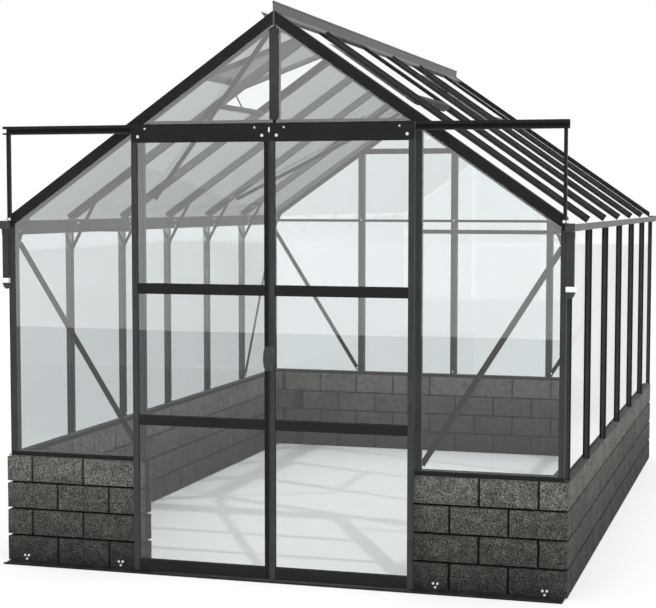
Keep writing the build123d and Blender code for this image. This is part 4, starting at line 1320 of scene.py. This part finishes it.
def vent_shapes():
    """Sashes of the roof vents: four rails mitred at their corners, and a hinge pin along the
    top. The front left one is swung up."""
    length, wide, thick = 0.650, BAY - 2 * VENT_GAP, 0.028
    side = section([(0, 0), (28, 0), (28, 4), (26, 4), (26, 8), (28, 8), (28, 25), (26, 28),
                    (2, 28), (0, 26)], [(9, 12, 3, 1)], 0.6)
    bottom = section([(0, 0), (40, 0), (40, 4), (38, 4), (38, 8), (40, 8), (40, 25), (37, 28),
                      (5, 28), (0, 24)], [(9, 12, 3, 1)], 0.6)
    start, foot, far = np.zeros(3), length * X, wide * Y
    upper, lower = np.array([1.0, -1.0, 0.0]), np.array([0.028, 0.040, 0.0])
    other_side = np.array([1.0, -1.0, 1.0])
    near = carried(side, start, Y, Z, X, [(start, upper)], [(foot, lower)])
    sash = joined([
        near, flipped(near, 1, wide / 2),
        carried(side, start, X, Z, Y, [(start, upper)], [(far, upper * other_side)]),
        carried(bottom, foot, -X, Z, Y, [(foot, lower)], [(foot + far, lower * other_side)])])
    pin = turned([(0.0045, 0), (0.0045, wide - 0.004)], 12, (0.0, 0.002, thick), Y)
    sashes, pins = [], []
    for bay in VENT_BAYS:
        hinge = on_slope(VENT_DOWN, FRONT + (bay - 1) * BAY + VENT_GAP, VENT_RISE)
        for left in (False, True):
            angle = OPEN_ANGLE if left and bay == OPEN_LEFT_BAY else 0.0
            along = DOWN * math.cos(angle) + OUT * math.sin(angle)
            out = OUT * math.cos(angle) - DOWN * math.sin(angle)
            for shape, store in ((sash, sashes), (pin, pins)):
                made = placed(moved(shape, [0, 0, -thick]), hinge, along, Y, out)
                store.append(flipped(made) if left else made)
    return sashes, pins


# ------------------------------------------------------------ bolts

ANCHORS_X = (-1.402, -0.853, 0.853, 1.402)      # bolt clusters low on the front wall
ANCHOR_HEIGHTS = 0.037, 0.0175
PLATE_HEIGHTS, BEAM_HEIGHTS = (1.827, 1.787), (1.781, 1.820)    # corner plates, eave beams
FOOT_HEIGHT, BACK_HEIGHTS = 0.614, (0.622, 1.80)                # side bars, back wall's bars


def bolt_shapes(size):
    """Bolt heads on the frame: wall anchors, corner plates, track straps, eave beams, the side
    bars' feet and the back wall's bars."""
    r, small = size.bolt, size.bolt * 0.8
    wall_face, (upper, lower) = low("front_walls")[1], ANCHOR_HEIGHTS
    clusters = [place for x in ANCHORS_X for place in (
        (x - 0.011, wall_face, upper), (x + 0.011, wall_face, upper), (x, wall_face, lower))]
    anchors = [turned([(0.0068, 0), (0.0068, 0.004), (0.0056, 0.005)], 12, clusters, -Y)]
    straps = low("track_straps")
    right = bolts([(HALF - 0.038, FRONT + END_FRAME, z) for z in PLATE_HEIGHTS], -Y, r * 0.6)
    right += bolts([(HALF - 0.012, straps[1], straps[2] + 0.012),
                    (HALF + 0.006, straps[1], straps[2] + 0.012)], -Y, r, 0.003)
    bars_y = FRONT + BAY * np.arange(1, BAYS)
    beam, feet = nearest("eave_beams"), nearest("side_wall_bars")
    sides = bolts([(beam, y, z) for y in bars_y for z in BEAM_HEIGHTS], -X, small)
    sides += bolts([(feet, y, FOOT_HEIGHT) for y in bars_y], -X, small)
    back = bolts([(x, low("back_wall_bars")[1], z) for x in (-GABLE_BAY, 0, GABLE_BAY)
                  for z in BACK_HEIGHTS], -Y, small)
    return anchors + left_too(right) + left_too(sides) + back


# ------------------------------------------------------------ operators

FLOOR_X, FLOOR_Y, FLOOR_Z = (-24.0, -6.0, 6.0, 24.0), (-16.8, -6.0, 6.0, 63.6), -0.0005
SUN_WAY, SUN_POWER, SUN_ANGLE = (-0.384, 0.715, -1.0), 0.85, math.radians(1.2)
FRONT_GLOW, RIGHT_GLOW, SOFT_GLOW = 2.45, 5.0, 1.1
EYE, EYE_TURN = (2.554, -9.829, 1.942), (math.pi / 2 - 0.0702, -0.001, 0.2833)
LENS, SHIFT = 86.70, (-0.01274, 0.01366)


class GREENHOUSE_OT_stage(bpy.types.Operator):
    """Pale floor, soft light and the camera."""
    bl_idname = "greenhouse.stage"
    bl_label = "Stage"

    def execute(self, context):
        scene = context.scene
        corners = np.stack(np.meshgrid(FLOOR_X, FLOOR_Y), -1).reshape(-1, 2)
        points = np.column_stack([corners, np.full(len(corners), FLOOR_Z)])
        number = np.arange(len(corners)).reshape(len(FLOOR_Y), len(FLOOR_X))
        faces = np.stack([number[:-1, :-1], number[:-1, 1:], number[1:, 1:], number[1:, :-1]], -1)
        mesh = bpy.data.meshes.new("floor")
        mesh.from_pydata(points.tolist(), [], faces.reshape(-1, 4).tolist())
        mesh.materials.append(finish("pale_floor"))
        floor = bpy.data.objects.new("floor", mesh)
        scene.collection.objects.link(floor)
        self.sun(scene)
        self.sky(scene)
        self.camera(scene)
        scene.view_settings.view_transform = "Standard"
        scene.cycles.transparent_max_bounces = 32
        return {"FINISHED"}

    def sun(self, scene):
        """Soft key light from the front right."""
        lamp = bpy.data.lights.new("key", "SUN")
        lamp.energy, lamp.angle = SUN_POWER, SUN_ANGLE
        key = bpy.data.objects.new("key", lamp)
        toward = Vector(SUN_WAY).normalized()
        key.rotation_euler = toward.to_track_quat("-Z", "Y").to_euler()
        scene.collection.objects.link(key)

    def sky(self, scene):
        """White all round. The panes mirror it brighter in front and to the right."""
        world = bpy.data.worlds.new("studio")
        world.use_nodes = True
        world.node_tree.nodes.clear()
        tree = Tree(world.node_tree)
        way = tree.add("ShaderNodeSeparateXYZ", {
            0: tree.add("ShaderNodeTexCoord").outputs["Generated"]}).outputs
        mirrored = tree.product(tree.ranged(way[1], -0.1, -0.5, 1.0, FRONT_GLOW),
                                tree.ranged(way[0], 0.2, 0.3, 1.0, RIGHT_GLOW))
        path = tree.add("ShaderNodeLightPath").outputs
        soft = tree.either(path["Is Singular Ray"], SOFT_GLOW, mirrored)
        power = tree.either(path["Is Camera Ray"], soft, 1.0)
        back = tree.add("ShaderNodeBackground", {"Color": (1, 1, 1, 1), "Strength": power})
        tree.add("ShaderNodeOutputWorld", {0: back.outputs[0]})
        scene.world = world

    def camera(self, scene):
        """Camera at the front right, a little over head height."""
        view = bpy.data.cameras.new("camera")
        view.sensor_width, view.lens, view.clip_end = 36.0, LENS, 200.0
        view.shift_x, view.shift_y = SHIFT
        eye = bpy.data.objects.new("camera", view)
        eye.location, eye.rotation_euler = EYE, EYE_TURN
        scene.collection.objects.link(eye)
        scene.camera = eye


class GREENHOUSE_OT_walls(bpy.types.Operator):
    """Blocks of the dwarf wall, with the joints between them."""
    bl_idname = "greenhouse.walls"
    bl_label = "Dwarf wall"

    def execute(self, context):
        front, side, back = wall_shapes(context.scene.greenhouse_sizes)
        make_piece("front_wall_blocks", front, "cast_stone", stands_for=["front_walls"])
        make_piece("side_wall_blocks", side, "cast_stone", stands_for=["side_walls"])
        make_piece("back_wall_blocks", back, "cast_stone", stands_for=["back_wall"])
        make_piece("sill_profiles", sills(), "charcoal_coat", stands_for=["sill_rails"])
        return {"FINISHED"}


class GREENHOUSE_OT_bars(bpy.types.Operator):
    """Posts, glazing bars and level beams of the walls."""
    bl_idname = "greenhouse.bars"
    bl_label = "Wall bars"

    def execute(self, context):
        metal, rubber = side_bars()
        make_piece("side_glazing_bars", metal, "bar_coat", stands_for=["side_wall_bars"])
        ends, more = end_bars(context.scene.greenhouse_sizes)
        make_piece("end_glazing_bars", ends, "bar_coat",
                   stands_for=["door_jambs", "back_wall_bars", "front_gable_bar"])
        posts, edges = corner_posts()
        make_piece("corner_post_profiles", posts, "bar_coat", stands_for=["corner_posts"])
        make_piece("wall_glazing_seals", rubber + more + edges, "rubber")
        make_piece("end_wall_beams", level_beams(), "charcoal_coat",
                   stands_for=["gable_beams", "cross_bars"])
        braces, heads = wall_braces()
        make_piece("wall_brace_profiles", braces, "charcoal_coat", stands_for=["wall_braces"])
        make_piece("wall_brace_bolts", heads, "zinc")
        make_piece("corner_plates", corner_plates(), "charcoal_coat",
                   stands_for=["corner_gussets"])
        dress("charcoal_coat", "knee_struts")
        return {"FINISHED"}


class GREENHOUSE_OT_roof(bpy.types.Operator):
    """Rafters, roof bars, ridge and eave beams."""
    bl_idname = "greenhouse.roof"
    bl_label = "Roof frame"

    def execute(self, context):
        make_piece("gable_rafter_profiles", gable_rafters(), "charcoal_coat",
                   stands_for=["gable_rafters"])
        metal, rubber = roof_bars()
        make_piece("roof_glazing_bars", metal, "bar_coat", stands_for=["roof_bars"])
        make_piece("roof_glazing_seals", rubber, "rubber")
        make_piece("ridge_profile", ridge(), "gutter_coat", stands_for=["ridge_beam"])
        make_piece("eave_beam_profiles", eave_beams(), "charcoal_coat", stands_for=["eave_beams"])
        dress("charcoal_coat", "roof_braces")
        return {"FINISHED"}


class GREENHOUSE_OT_rainwater(bpy.types.Operator):
    """Gutters, their end caps and the downpipes."""
    bl_idname = "greenhouse.rainwater"
    bl_label = "Gutters and downpipes"

    def execute(self, context):
        make_piece("gutter_channels", gutters(), "gutter_coat", stands_for=["gutters"])
        make_piece("gutter_caps", gutter_end_caps(), "black_plastic",
                   stands_for=["gutter_end_caps"])
        make_piece("downpipe_tubes", downpipes(), "bar_coat", stands_for=["downpipes"])
        make_piece("downpipe_rings", downpipe_collars(), "white_plastic",
                   stands_for=["downpipe_collars"])
        make_piece("downpipe_outlets", downpipe_spouts(), "black_plastic",
                   stands_for=["downpipe_spouts"])
        return {"FINISHED"}


class GREENHOUSE_OT_vents(bpy.types.Operator):
    """Roof vents with their hinges and stays."""
    bl_idname = "greenhouse.vents"
    bl_label = "Roof vents"

    def execute(self, context):
        metal, hinges = vent_shapes()
        make_piece("vent_sashes", metal, "charcoal_coat", stands_for=["vent_frames"])
        make_piece("vent_hinges", hinges, "black_plastic")
        dress("charcoal_coat", "vent_sill_bars", "vent_stays")
        return {"FINISHED"}


class GREENHOUSE_OT_glass(bpy.types.Operator):
    """Finish of the fixed panes."""
    bl_idname = "greenhouse.glass"
    bl_label = "Glass"

    def execute(self, context):
        dress("clear_glass", "vent_glass", "side_wall_glass", "front_wall_glass",
              "back_wall_glass", "roof_glass", "left_door_glass", "right_door_glass")
        return {"FINISHED"}


class GREENHOUSE_OT_doors(bpy.types.Operator):
    """Sliding doors, their track and their guide."""
    bl_idname = "greenhouse.doors"
    bl_label = "Sliding doors"

    def execute(self, context):
        make_piece("track_channel", track_shapes(), "charcoal_coat", stands_for=["door_track"])
        make_piece("ground_guide", guide_shapes(), "charcoal_coat", stands_for=["door_guide_rail"])
        dress("charcoal_coat", "track_straps")
        shapes = leaf_pieces(context.scene.greenhouse_sizes)
        wheels, axles = roller_shapes()
        pieces = [   # piece, shapes, finish and the node it stands for
            ("stiles_profile", shapes["stiles"], "bar_coat", "stiles"),
            ("rails_profile", shapes["rails"], "charcoal_coat", "rails"),
            ("header_profile", shapes["header"], "charcoal_coat", "header"),
            ("seals", shapes["seals"], "rubber", None),
            ("pull", handle_shapes(), "black_plastic", "handle"),
            ("wheels", wheels, "white_plastic", "rollers"),
            ("axles", axles, "zinc", None),
            ("header_bolts", header_bolts(), "zinc", None)]
        for side in ("right_door", "left_door"):
            for name, made, coat, node in pieces:
                if side == "left_door":
                    made = [flipped(shape) for shape in made]
                make_piece(f"{side}_{name}", made, coat, side, [f"{side}_{node}"] if node else [])
        make_piece("left_door_meeting_seal", [flipped(meeting_seal())], "rubber", "left_door")
        make_piece("door_stop", door_stop(), "white_plastic")
        return {"FINISHED"}


class GREENHOUSE_OT_bolts(bpy.types.Operator):
    """Bolt heads."""
    bl_idname = "greenhouse.bolts"
    bl_label = "Bolts"

    def execute(self, context):
        make_piece("frame_bolts", bolt_shapes(context.scene.greenhouse_sizes), "zinc")
        return {"FINISHED"}


OPERATORS = (
    GREENHOUSE_OT_stage, GREENHOUSE_OT_walls, GREENHOUSE_OT_bars, GREENHOUSE_OT_roof,
    GREENHOUSE_OT_rainwater, GREENHOUSE_OT_vents, GREENHOUSE_OT_glass, GREENHOUSE_OT_doors,
    GREENHOUSE_OT_bolts)


class GREENHOUSE_PT_panel(bpy.types.Panel):
    """Lists the greenhouse's operators."""
    bl_idname = "GREENHOUSE_PT_panel"
    bl_label = "Greenhouse"
    bl_space_type = "VIEW_3D"
    bl_region_type = "UI"
    bl_category = "Greenhouse"

    def draw(self, context):
        for operator in OPERATORS:
            self.layout.operator(operator.bl_idname)


CLASSES = (GreenhouseSizes, GreenhouseFinish, *OPERATORS, GREENHOUSE_PT_panel)


def register():
    for cls in CLASSES:
        bpy.utils.register_class(cls)
    bpy.types.Scene.greenhouse_sizes = bpy.props.PointerProperty(type=GreenhouseSizes)
    bpy.types.Scene.greenhouse_finish = bpy.props.PointerProperty(type=GreenhouseFinish)


def unregister():
    del bpy.types.Scene.greenhouse_finish
    del bpy.types.Scene.greenhouse_sizes
    for cls in reversed(CLASSES):
        bpy.utils.unregister_class(cls)


def main():
    register()
    for operator in OPERATORS:
        group_name, name = operator.bl_idname.split(".")
        getattr(getattr(bpy.ops, group_name), name)()


if __name__ == "__main__":
    main()
